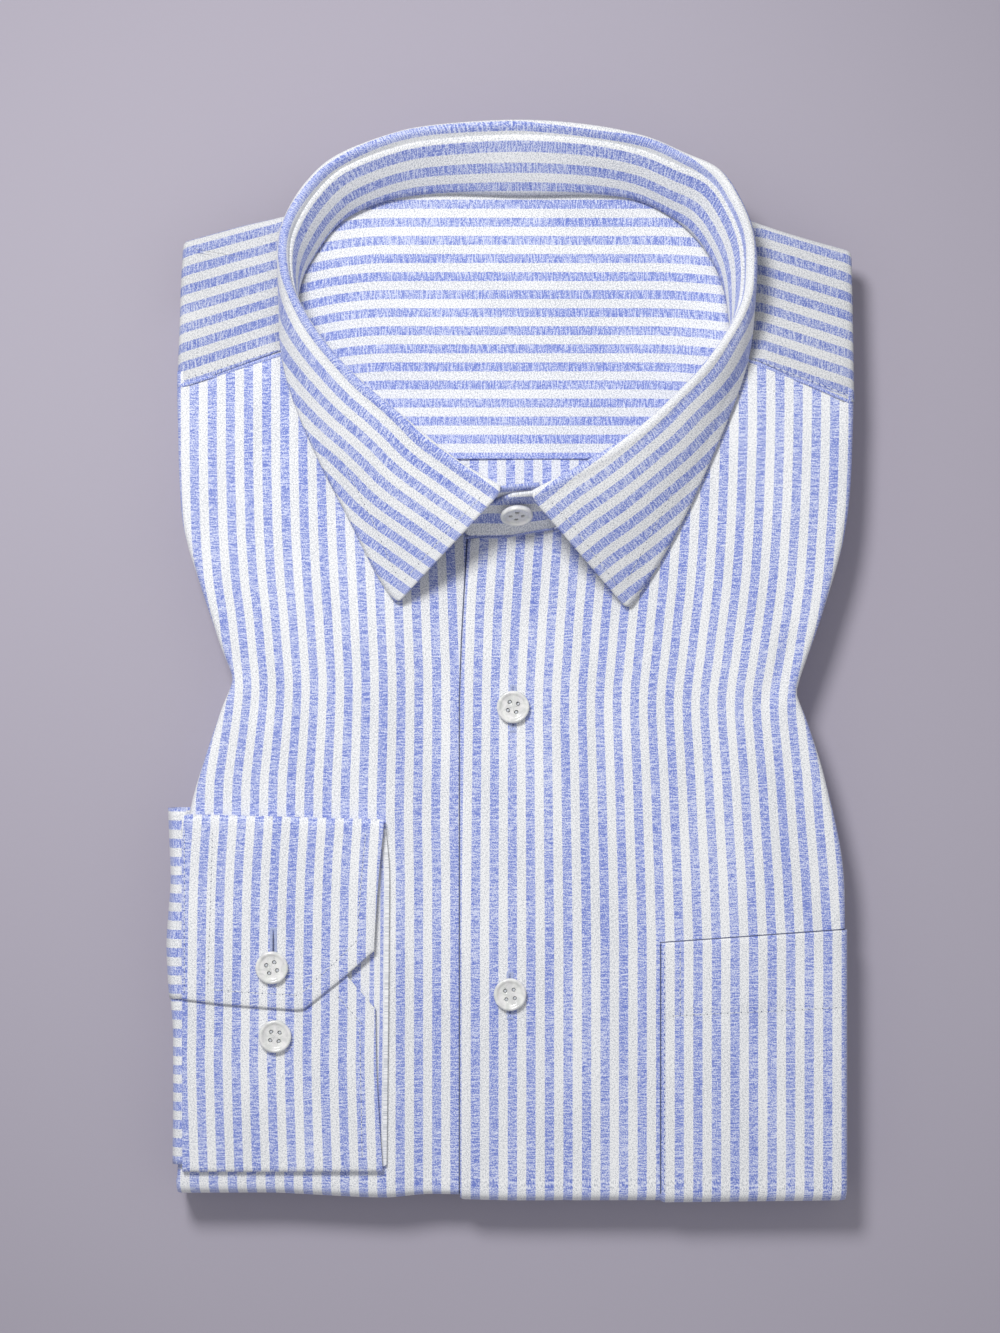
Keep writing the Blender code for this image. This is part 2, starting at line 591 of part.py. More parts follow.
def hole_cutter(name, width, cutters):
    """Four pins, for the holes of one button."""
    bm = bmesh.new()
    spread = HOLE_SPREAD * width / BUTTON_WIDTH
    for i in range(4):
        angle = math.radians(45 + 90 * i)
        centre = Vector((math.cos(angle), math.sin(angle), 0)) * spread * math.sqrt(2) * MM
        bmesh.ops.create_cone(
            bm, cap_ends=True, segments=6, radius1=HOLE_WIDTH / 2 * MM, radius2=HOLE_WIDTH / 2 * MM,
            depth=8 * MM, matrix=Matrix.Translation(centre),
        )
    mesh = bpy.data.meshes.new(name)
    bm.to_mesh(mesh)
    bm.free()
    cutter = bpy.data.objects.new(name, mesh)
    cutters.objects.link(cutter)
    cutter.hide_render = True
    cutter.display_type = "WIRE"
    return cutter


def add_button(name, at, tilt, width, collection, cutters):
    place = Matrix.Translation(Vector(at) * MM) @ Matrix.Rotation(math.radians(tilt), 4, "X")
    obj = add_object(name, button_mesh(width), "shell_button", collection)
    obj.matrix_world = place
    cutter = hole_cutter(name + "_holes", width, cutters)
    cutter.matrix_world = place
    cut = obj.modifiers.new("holes", "BOOLEAN")
    cut.operation = "DIFFERENCE"
    cut.object = cutter


def add_buttons(collection, cutters):
    face = TOP + SEAM_GAP
    outer, inner = CUFF_OUTER + WALL / 2 + SEAM_GAP, CUFF_INNER + WALL / 2 + SEAM_GAP
    add_button("front_button_1", (1.0, -15.9, face), 0, BUTTON_WIDTH, collection, cutters)
    add_button("front_button_2", (0.0, -113.2, face), 0, BUTTON_WIDTH, collection, cutters)
    add_button("cuff_button_1", (-80.4, -103.8, outer), 0, BUTTON_WIDTH, collection, cutters)
    add_button("cuff_button_2", (-79.4, -127.1, inner), 0, BUTTON_WIDTH, collection, cutters)
    seam, top = Vector(BAND_OVER_END[0][:3]), Vector(BAND_OVER_END[0][3:])
    slope = math.degrees(math.atan2(top.z - seam.z, top.y - seam.y))
    outward = Vector((0, -math.sin(math.radians(slope)), math.cos(math.radians(slope))))
    centre = seam.lerp(top, 0.48) + outward * (COLLAR_WALL / 2 + 2 * SEAM_GAP)
    add_button("collar_button", (2.1, centre.y, centre.z), slope, COLLAR_BUTTON_WIDTH, collection, cutters)


def main():
    for obj in list(bpy.data.objects):
        bpy.data.objects.remove(obj)
    shirt = bpy.data.collections.new("folded_dress_shirt")
    cutters = bpy.data.collections.new("cutters")
    for collection in (shirt, cutters):
        bpy.context.scene.collection.children.link(collection)
    add_lower_front(shirt)
    add_upper_front(shirt)
    add_yoke(shirt)
    add_yoke_lining(shirt)
    add_collar(shirt)
    add_pocket(shirt)
    add_cuff(shirt)
    add_sleeve(shirt)
    add_folded_layers(shirt)
    add_buttons(shirt, cutters)


main()
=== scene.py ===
import math

import bmesh
import bpy
from mathutils import Matrix, Vector
from mathutils.bvhtree import BVHTree


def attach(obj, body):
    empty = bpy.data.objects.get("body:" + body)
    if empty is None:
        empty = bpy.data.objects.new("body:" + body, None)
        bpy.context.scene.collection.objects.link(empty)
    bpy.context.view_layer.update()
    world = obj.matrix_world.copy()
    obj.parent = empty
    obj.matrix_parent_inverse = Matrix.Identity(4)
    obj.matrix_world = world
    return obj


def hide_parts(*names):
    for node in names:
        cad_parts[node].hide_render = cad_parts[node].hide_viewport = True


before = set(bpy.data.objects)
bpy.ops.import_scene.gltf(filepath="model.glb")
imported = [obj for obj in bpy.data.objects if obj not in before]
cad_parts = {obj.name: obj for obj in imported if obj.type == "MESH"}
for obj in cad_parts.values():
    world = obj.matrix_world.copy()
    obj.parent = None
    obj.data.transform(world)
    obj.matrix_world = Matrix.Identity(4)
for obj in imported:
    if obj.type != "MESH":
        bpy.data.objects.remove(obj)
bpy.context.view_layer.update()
mm = 0.001  # sizes below are in millimetres
repeat = 6.2  # one blue and one white stripe, on the flat cloth
print("frame loaded:", ", ".join(sorted(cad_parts)))

# The folded shirt as a whole. Outline tables are read as (y, x) or (x, y) pairs.
shirt = {
    "top": 22.0,  # height of the fronts' face
    "middle": 11.0,
    "sideDepth": 9.0,  # a side fold reaches this far down
    "sideTurn": 3.2,
    "sideTuck": 9.0,
    "foot": -182.0,
    "footEdge": -181.0,  # round the bottom fold the side outline and the stripes are read here
    "footArc": 33.0,  # cloth in the bottom fold
    "bottomTurn": 5.0,
    "squareness": 3.2,  # of the folds' sections: 2 is round, more is squarer
    "facing": (34.5, 1.4, 0.16),  # its inner edge shows through: distance from the lapped edge, half width, depth
    "fullness": 0.9,  # the cloth stands this far outside the tables' side edges
    "tailHem": 118.0,
    "tailInset": 1.2,
    "cloth": 0.7,  # one layer of shirting, a little thicker than real so that it stays whole
    "leftEdge": (
        (-183, -112.5), (-172, -112.3), (-170, -111.3), (-90, -111.2), (-62, -109.8), (-47, -107.1),
        (-28, -101.0), (-16, -96.9), (-10, -94.3), (-7, -93.1), (-4, -93.8), (4, -97.2),
        (34, -107.1), (44, -110.2), (60, -111.4), (93, -112.2), (120, -111.6),
    ),
    "rightEdge": (
        (-183, 112.8), (-80, 112.8), (-69, 112.3), (-56, 109.9), (-35, 104.7), (-20, 99.7),
        (-14, 97.2), (-11, 96.2), (-5, 97.9), (12, 104.0), (34, 110.8), (44, 113.2),
        (60, 114.9), (88, 115.8), (120, 115.4),
    ),
    "bottomEdge": (
        (-113, -181.3), (-80, -181.2), (-50, -182.8), (-20, -183.4), (0, -183.9), (52, -183.8), (113, -183.1),
    ),
    "overlapEdge": ((-183, -16.9), (-13, -16.9), (7, -16.2), (41, -14.2), (60, -11.0)),
    # soft creases pressed into the fronts: x, y to x, y, half width, depth (a ridge is negative)
    "creases": (
        (-93, 1, -85, -17, 3.6, 0.9), (-96, -9, -88, -10, 3.0, -0.35), (-88, 8, -79, -6, 5.0, -0.3),
        (95, 5, 86, -15, 3.4, 0.9), (97, -14, 90, -16, 3.0, -0.3), (90, 12, 80, -4, 5.0, -0.3),
        (-100, 44, -92, 10, 6.0, 0.28), (104, 46, 95, 14, 6.0, 0.28),
        (-30, -42, -24, -98, 5.0, 0.35), (-22, -70, -20, -150, 2.4, 0.25),
        (30, -60, 34, -140, 9.0, 0.22), (66, -20, 74, -76, 9.0, 0.25), (-60, 30, -56, -30, 9.0, 0.22),
        (24, 30, 30, -24, 8.0, 0.2), (10, -140, 40, -172, 7.0, 0.25), (-36, -130, -20, -168, 5.0, 0.3),
    ),
    "tailCreases": (
        (-90, -4, -70, -12, 5.0, 0.8), (92, -8, 74, -14, 5.0, 0.8), (-60, 70, -52, -60, 8.0, 0.5),
        (50, 40, 58, -110, 9.0, 0.5), (-20, -60, 14, -150, 8.0, 0.4), (84, 90, 60, 30, 6.0, 0.5),
    ),
}
shirt["faceStart"] = shirt["foot"] + shirt["bottomTurn"]

# How the stripes run on the fronts. lean moves them sideways, pull draws them in at the waist.
frontStripes = {
    "left": {
        "centre": -18.73, "pitch": 6.135, "reach": 73.7,
        "lean": (
            (-74, 0), (-54, -0.4), (-40, -0.24), (-27, 0), (-7, 0), (0, -0.14), (7, -0.44), (20, -0.88),
            (27, -1.08), (41, -1.72), (54, -2.1), (68, -2.37), (100, -2.37),
        ),
        "pull": (
            (-175, -1.7), (-120, -0.4), (-54, 0), (-40.6, 0.1), (-27, 1.6), (-20, 2.43), (-13.5, 3.18),
            (-7, 3.38), (0, 2.7), (7, 2.26), (13.5, 1.86), (20, 1.2), (27, 0.4), (41, 0),
        ),
    },
    "right": {
        "centre": 0.75, "pitch": 6.28,
        "lean": (
            (-14, 0.05), (-7, 0.2), (0, 0.5), (7, 0.85), (13.5, 1.05), (20, 1.5), (27, 2.0), (41, 2.9),
            (54, 3.2), (68, 3.7), (81, 4.0), (100, 4.0),
        ),
        "pull": (
            (-95, 0), (-74, -0.011), (-54, -0.027), (-41, -0.036), (-27, -0.05), (-20, -0.057),
            (-13.5, -0.0597), (-7, -0.053), (0, -0.042), (7, -0.036), (13.5, -0.027), (20, -0.022),
            (27, -0.018), (41, -0.017), (54, -0.013), (81, -0.014),
        ),
    },
}


def mix(a, b, share):
    return a + (b - a) * share


def clamp(value, low=0.0, high=1.0):
    return min(max(value, low), high)


def ease(share):
    share = clamp(share)
    return share * share * (3 - 2 * share)


def power(value, exponent):
    return math.copysign(abs(value) ** exponent, value)


def readLine(rows, at):
    if at <= rows[0][0]:
        return rows[0][1]
    for (a, first), (b, second) in zip(rows, rows[1:]):
        if at <= b:
            return first + (second - first) * (at - a) / (b - a)
    return rows[-1][1]


# Straight-line reading of a two-column table, averaged over a short span so that its corners are round
def readTable(rows, at, span=3.0):
    return sum(readLine(rows, at + span * step / 3) for step in range(-3, 4)) / 7


def sideEdge(side, y):
    span = 1.6 + 5 * clamp((abs(y + 9) - 6) / 30)
    return readTable(shirt["leftEdge"] if side < 0 else shirt["rightEdge"], y, span) + side * shirt["fullness"]


def spread(first, last, step):
    count = max(1, round(abs(last - first) / step))
    return [mix(first, last, k / count) for k in range(count + 1)]


def pressed(creases, x, y):
    drop = 0.0
    for x0, y0, x1, y1, width, depth in creases:
        dx, dy = x1 - x0, y1 - y0
        along = ((x - x0) * dx + (y - y0) * dy) / (dx * dx + dy * dy)
        if not -0.35 < along < 1.35:
            continue
        aside = ((x - x0) * dy - (y - y0) * dx) / math.hypot(dx, dy)
        if abs(aside) < 3 * width:
            fade = ease((along + 0.35) / 0.5) * ease((1.35 - along) / 0.5)
            drop += depth * fade * math.exp(-((aside / width) ** 2))
    return drop


def toRepeat(distance, pitch):
    return distance * repeat / pitch


# Distance across the stripes for a point of either front; a blue stripe is centred on each multiple of the repeat
def frontAcross(side, x, y):
    stripes = frontStripes["left" if side < 0 else "right"]
    leaned = x - readTable(stripes["lean"], y, 4.0)
    pull = readTable(stripes["pull"], y, 3.0)
    if side > 0:
        across = leaned / (1 + pull)
    else:
        across = leaned
        for _ in range(4):
            across = leaned - pull * ((across - stripes["centre"]) / stripes["reach"]) ** 2
    return toRepeat(across - stripes["centre"], stripes["pitch"])


# Making cloth
def addPiece(name, bm, material):
    mesh = bpy.data.meshes.new(name)
    bm.to_mesh(mesh)
    bm.free()
    mesh.shade_smooth()
    mesh.materials.append(material)
    obj = bpy.data.objects.new(name, mesh)
    bpy.context.scene.collection.objects.link(obj)
    return obj


def standFor(obj, slot, *nodes):
    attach(obj, "root")
    if nodes:
        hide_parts(*nodes)
    return obj


# across and along are lists of positions; place gives a point and its place on the flat cloth, both in millimetres
def makeSheet(name, across, along, place, thickness, *nodes, offset=-1.0, material=None):
    bm = bmesh.new()
    bmesh.ops.create_grid(bm, x_segments=len(across) - 1, y_segments=len(along) - 1, size=0.5)
    weave = bm.loops.layers.uv.new("weave")
    flat = {}
    for vert in bm.verts:
        column = round((vert.co.x + 0.5) * (len(across) - 1))
        row = round((vert.co.y + 0.5) * (len(along) - 1))
        point, cloth = place(across[column], along[row])
        vert.co = Vector(point) * mm
        flat[vert] = Vector(cloth) * mm
    for face in bm.faces:
        for loop in face.loops:
            loop[weave].uv = flat[loop.vert]
    bm.normal_update()
    highest = max(bm.faces, key=lambda face: face.calc_center_median().z)
    if highest.normal.z < 0:
        bmesh.ops.reverse_faces(bm, faces=bm.faces)
    obj = addPiece(name, bm, material or shirting)
    wall = obj.modifiers.new("wall", "SOLIDIFY")
    wall.thickness, wall.offset = thickness * mm, offset
    return standFor(obj, "striped_cotton", *nodes)


# Moves a point inside a sharp corner onto a rounded one. The two directions leave the corner along its edges.
def roundCorner(point, corner, first, second, radius):
    size = first[0] * second[1] - first[1] * second[0]
    dx, dy = point[0] - corner[0], point[1] - corner[1]
    a = (dx * second[1] - dy * second[0]) / size
    b = (first[0] * dy - first[1] * dx) / size
    if not (0 <= a < radius and 0 <= b < radius):
        return point
    u, v = 1 - a / radius, 1 - b / radius
    a = radius * (1 - u * math.sqrt(1 - v * v / 2))
    b = radius * (1 - v * math.sqrt(1 - u * u / 2))
    return (corner[0] + a * first[0] + b * second[0], corner[1] + a * first[1] + b * second[1], *point[2:])


def direction(a, b):
    length = math.hypot(b[0] - a[0], b[1] - a[1])
    return ((b[0] - a[0]) / length, (b[1] - a[1]) / length)


# Materials
def linear(hexColour, tone=1.0):
    values = [int(hexColour[k:k + 2], 16) / 255 for k in (0, 2, 4)]
    return [tone * (v / 12.92 if v <= 0.04045 else ((v + 0.055) / 1.055) ** 2.4) for v in values] + [1.0]


def fillNode(tree, node, inputs):
    for key, value in inputs.items():
        if isinstance(value, bpy.types.NodeSocket):
            tree.links.new(value, node.inputs[key])
        else:
            node.inputs[key].default_value = value
    return node


def addNode(tree, kind, inputs=None, output=0, **settings):
    node = tree.nodes.new("ShaderNode" + kind)
    for key, value in settings.items():
        setattr(node, key, value)
    return fillNode(tree, node, inputs or {}).outputs[output]


def blend(tree, share, first, second, **settings):
    return addNode(tree, "Mix", {0: share, 6: first, 7: second}, 2, data_type="RGBA", **settings)


def gradient(tree, value, *stops):
    node = fillNode(tree, tree.nodes.new("ShaderNodeValToRGB"), {0: value})
    for _ in stops[2:]:
        node.color_ramp.elements.new(0.5)
    for element, (position, colour) in zip(node.color_ramp.elements, stops):
        element.position, element.color = position, colour
    return node.outputs[0]


def newMaterial(name):
    made = bpy.data.materials.new(name)
    made.use_nodes = True
    return made, made.node_tree


# bump is a height, a strength and a distance in millimetres
def dress(made, colour, bump, inputs):
    tree = made.node_tree
    normal = addNode(tree, "Bump", {"Height": bump[0], "Strength": bump[1], "Distance": bump[2] * mm})
    fillNode(tree, tree.nodes["Principled BSDF"], {"Base Color": colour, "Normal": normal, **inputs})
    return made


# Yarn-dyed striped cotton shirting, plain woven and calendered: matt, a faint sheen at grazing angles,
# white weft flecks over the blue warp and short thick slubs across both colours.
cotton = {
    "white": "fbfbfa", "whiteShade": "c6c9cf", "blue": "a4afe0", "bluePale": "dfe4f7", "blueDeep": "6f80cc",
    "thread": 0.4,  # real yarns lie about 0.2 apart; drawn coarser so that they show
    "weft": (1 / 3.6, 1 / 0.5),  # how fast the lines across the stripes change, across and along
    "slub": (0.11, 1.9),
    "yokePaintedShade": 0.81,  # painted shade: the outer yoke's colours are darkened to this share, as if the yoke lay in shade
    "stripeEdge": (0.265, 0.235), "slubEdge": (0.66, 0.74), "blueSpread": (0.48, 0.67), "whiteSpread": (0.45, 0.65),
    "roughness": 0.82, "sheen": 0.12, "weaveDepth": 0.05,
}


# tone darkens every colour of the cloth; below 1 it paints shade into the cloth, as on the yoke
def makeCotton(name, tone=1.0):
    made, tree = newMaterial(name)

    def dye(colour):
        return linear(cotton[colour], tone)

    def maths(operation, first, second=0.0, third=0.0):
        return addNode(tree, "Math", {0: first, 1: second, 2: third}, operation=operation)

    # A weighted sum of values
    def total(*parts):
        value = maths("MULTIPLY", *parts[0])
        for part, weight in parts[1:]:
            value = maths("MULTIPLY_ADD", part, weight, value)
        return value

    def cloud(x, y, z=0.0, detail=1.0, roughness=0.6):
        spot = addNode(tree, "CombineXYZ", {0: x, 1: y, 2: z})
        return addNode(tree, "TexNoise", {"Vector": spot, "Scale": 1.0, "Detail": detail, "Roughness": roughness})

    def noise(acrossScale, alongScale, shift=0.0, detail=1.0):
        x, y = maths("MULTIPLY_ADD", across, acrossScale, shift), maths("MULTIPLY", along, alongScale)
        return cloud(x, y, shift, detail)

    def ramp(value, span):
        return addNode(tree, "MapRange", {0: value, 1: span[0], 2: span[1]}, interpolation_type="SMOOTHSTEP")

    cloth = addNode(tree, "UVMap", uv_map="weave")
    across, along = (maths("MULTIPLY", addNode(tree, "SeparateXYZ", {0: cloth}, k), 1 / mm) for k in (0, 1))

    thread = 1 / cotton["thread"]
    slanting = maths("MULTIPLY", maths("ADD", across, along), thread)
    crossing = maths("MULTIPLY", maths("SUBTRACT", across, along), thread * 0.35)
    grain = total((cloud(slanting, crossing, roughness=0.5), 0.4), (noise(thread, thread), 0.6))  # crossing yarns
    ragged = maths("MULTIPLY_ADD", noise(0.8, thread, 7.0), 0.3, -0.15)
    place = maths("FRACT", maths("MULTIPLY_ADD", maths("ADD", across, ragged), 1 / repeat, 0.5))
    stripe = ramp(maths("ABSOLUTE", maths("SUBTRACT", place, 0.5)), cotton["stripeEdge"])
    weft = noise(*cotton["weft"], 3.0)
    slub = ramp(noise(*cotton["slub"], 11.0), cotton["slubEdge"])  # a few thicker yarns
    patch = noise(0.05, 0.02, 5.0, 2.0)

    blue = gradient(
        tree, ramp(total((grain, 0.7), (weft, 0.35), (patch, 0.1)), cotton["blueSpread"]),
        (0.0, dye("blueDeep")), (0.5, dye("blue")), (1.0, dye("bluePale")),
    )
    blue = blend(tree, maths("MULTIPLY", slub, 0.45), blue, dye("white"))
    white = ramp(total((grain, 1.0), (patch, 0.15)), cotton["whiteSpread"])
    white = blend(tree, white, dye("whiteShade"), dye("white"))
    return dress(
        made, blend(tree, stripe, white, blue),
        (total((grain, 0.6), (weft, 0.5), (slub, 0.5)), 0.55, cotton["weaveDepth"]),
        {
            "Roughness": maths("MULTIPLY_ADD", grain, 0.12, cotton["roughness"]), "Specular IOR Level": 0.3,
            "Sheen Weight": cotton["sheen"], "Sheen Roughness": 0.45,
        },
    )


# Spun polyester sewing thread, twisted: a soft shine and a fine slanting ply.
def makeThread(name, light, dark):
    made, tree = newMaterial(name)
    spot = addNode(tree, "TexCoord", output="Object")
    waves = {"Vector": spot, "Scale": 900.0, "Distortion": 2.0}
    ply = addNode(tree, "TexWave", waves, 1, bands_direction="DIAGONAL")
    fuzz = addNode(tree, "TexNoise", {"Vector": spot, "Scale": 2600.0})
    share = addNode(tree, "Math", {0: ply, 1: fuzz}, operation="MULTIPLY")
    return dress(made, blend(tree, share, linear(dark), linear(light)), (ply, 0.4, 0.04), {"Roughness": 0.55})


# Turned trochus shell, polished: milky with cloudy grey and faint pink and green nacre, and a clear gloss.
def makeShell(name):
    made, tree = newMaterial(name)
    spot = addNode(tree, "TexCoord", output="Object")
    cloudy = addNode(tree, "TexNoise", {"Vector": spot, "Scale": 330.0, "Detail": 3.0, "Distortion": 1.2})
    band = addNode(tree, "TexWave", {"Vector": spot, "Scale": 90.0, "Distortion": 9.0, "Detail": 2.0}, 1)
    body = gradient(tree, cloudy, (0.36, linear("dfe0dd")), (0.62, linear("f6f5f2")))
    tint = blend(tree, band, linear("f1eef1"), linear("f4f6f2"))
    rough = addNode(tree, "MapRange", {0: cloudy, 3: 0.16, 4: 0.32})
    return dress(
        made, blend(tree, 0.5, body, tint, blend_type="MULTIPLY"), (cloudy, 0.2, 0.08),
        {"Roughness": rough, "IOR": 1.53, "Coat Weight": 0.4, "Coat Roughness": 0.1},
    )


shirting = makeCotton("striped cotton poplin")
# the yoke's copy of the cloth, darkened throughout: painted shade
yokeShadedShirting = makeCotton("striped cotton poplin with painted shade, for the yoke", cotton["yokePaintedShade"])
whiteThread = makeThread("white polyester thread", "f6f6f4", "d5d8da")
# painted shade: a dark grey-blue, drawn with the thread's ply, for the shade in needle holes, along folded edges and
# in buttonhole slits
holeShadeMaterial = makeThread("thread sunk in its needle hole", "6d7592", "474e6c")
paleThread = makeThread("pale blue buttonhole thread", "d3daf0", "a9b4d8")
greyThread = makeThread("grey button thread", "e4e6e8", "c2c6cd")
shell = makeShell("polished trochus shell")
print("materials made")


# How far out and how far up a squarish turn stands, at an angle in degrees
def squared(degrees):
    angle = math.radians(degrees)
    return [power(part(angle), 2 / shirt["squareness"]) for part in (math.cos, math.sin)]


def runLengths(points):
    lengths = [0.0]
    for a, b in zip(points, points[1:]):
        lengths.append(lengths[-1] + math.dist(a, b))
    return lengths


# A side fold from the face down to lowAngle, standing out by grow: (inset, depth) pairs and the lengths along them
def sideTurn(lowAngle, grow=0.0):
    width, half = shirt["sideTurn"] + grow, shirt["sideDepth"] / 2
    turn = []
    for k in range(13):
        out, up = squared(90 + (lowAngle - 90) * k / 12)
        turn.append((width * (1 - out) - grow, half - (half + grow) * up))
    return turn, runLengths(turn)


# A point of the folded body: down a side fold by depth, under the outer layer by lap
def bodyPoint(x, y, turn, depth, side, lap):
    if turn is None:
        return (x, y, shirt["top"] - depth - lap)
    if turn == "under":
        return (x - side * shirt["tailInset"], y, depth + lap)
    out, up = squared(90 * turn)
    height = shirt["middle"] - lap
    share = 1 - depth / height
    reach = (shirt["bottomTurn"] * share ** 0.15 - lap) * out
    y = readTable(shirt["bottomEdge"], x) + shirt["bottomTurn"] - reach
    return (x - side * shirt["tailInset"] * (1 - turn) / 2, y, shirt["middle"] + height * up * share)


# Rows from the tail's hem, under the shirt, round the bottom fold and up the face: (y, turn, place along the cloth)
def bodyRows(topY):
    start, arc = shirt["faceStart"], shirt["footArc"]
    rows = [(y, "under", start - arc - (y - start)) for y in spread(shirt["tailHem"], start, 4.0)]
    for k in range(23):
        turn = -1 + 2 * k / 22
        rows.append((0.0, turn, start - arc * (1 - turn) / 2))
    return rows + [(y, None, y) for y in spread(start + 1.5, topY, 2.2)]


# The two fronts, with the tail folded under them
frontPieces = {
    # sections are the collar's, beside which the rows fan out from the neck seam; sideEnds says how far up each ends
    "right_front": {
        "side": -1, "topY": 37.0, "sections": (0.3, 5.45), "lapReach": 14.0, "lapDrop": 1.6, "lapFrom": -44,
        "sideEnds": ((0.3, 42.0), (1, 50), (2, 60), (3, 71), (4, 82), (5, 92.6), (5.45, 98.6)),
    },
    "left_front": {
        "side": 1, "topY": 41.0, "sections": (26.0, 20.5), "lapReach": 0.0, "lapDrop": 0.0, "lapFrom": 0,
        "sideEnds": ((20.5, 92.6), (21, 87.0), (22, 80), (23, 73), (24, 66), (25, 59), (26, 48)),
    },
}


def makeFront(name):
    settings = frontPieces[name]
    side, foot = settings["side"], shirt["footEdge"]
    first, last = settings["sections"]
    rows = bodyRows(settings["topY"]) + [(None, section, None) for section in spread(first, last, 0.2)]
    turn, arcs = sideTurn(-90)
    columns = [("face", share) for share in [0.0, 0.003, 0.007, 0.012] + spread(0.02, 1.0, 1 / 58)]
    columns += [("turn", k) for k in range(1, len(turn))] + [("tuck", 0.5), ("tuck", 1.0)]

    # The lower front sinks towards the middle, where the other laps over it
    def lapAt(x):
        return settings["lapDrop"] * ease((x - settings["lapFrom"]) / 18)

    def place(column, row):
        kind, value = column
        y, turned, along = row
        section = None
        if y is None:
            section, turned = turned, None
            y = along = readTable(settings["sideEnds"], section, 0.2)
        elif turned not in (None, "under"):
            y = foot
        flatY = y if turned is None else foot
        edge = sideEdge(side, y)
        foldStart = edge - side * shirt["sideTurn"]
        if kind == "face" and section is not None:
            inner = neckEdge(section, 0.6)
            share = value ** 1.1
            x, y = mix(inner.x, foldStart, share), mix(inner.y, y, share)
            z = mix(inner.z, shirt["top"], ease(share / 0.3)) - pressed(shirt["creases"], x, y) - lapAt(x)
            z -= 1.1 * ease(1 - abs(section - last) / 0.5)
            return (x, y, z), (frontAcross(side, x, y), y)
        if kind == "face":
            start = readTable(shirt["overlapEdge"], y) if side > 0 else settings["lapReach"]
            x = mix(start, foldStart, value)
            lap = lapAt(x)
            if side > 0:
                beside, half, drop = shirt["facing"]
                lap += 0.35 * (1 - ease((x - start) / 1.4)) + drop * math.exp(-(((x - start - beside) / half) ** 2))
            if turned in (None, "under"):
                lap += pressed(shirt["creases" if turned is None else "tailCreases"], x, y)
            return bodyPoint(x, y, turned, 0.0, side * value, lap), (frontAcross(side, x, flatY), along)
        if kind == "turn":
            (inset, depth), beyond = turn[value], arcs[value]
        else:
            tuck = shirt["sideTuck"] * value
            inset, depth, beyond = shirt["sideTurn"] + tuck, shirt["sideDepth"], arcs[-1] + tuck
        point = bodyPoint(edge - side * inset, y, turned, depth, side, 0.0)
        return point, (frontAcross(side, foldStart + side * beyond, flatY), along)

    return makeSheet(name + "_cloth", columns, rows, place, shirt["cloth"], name)


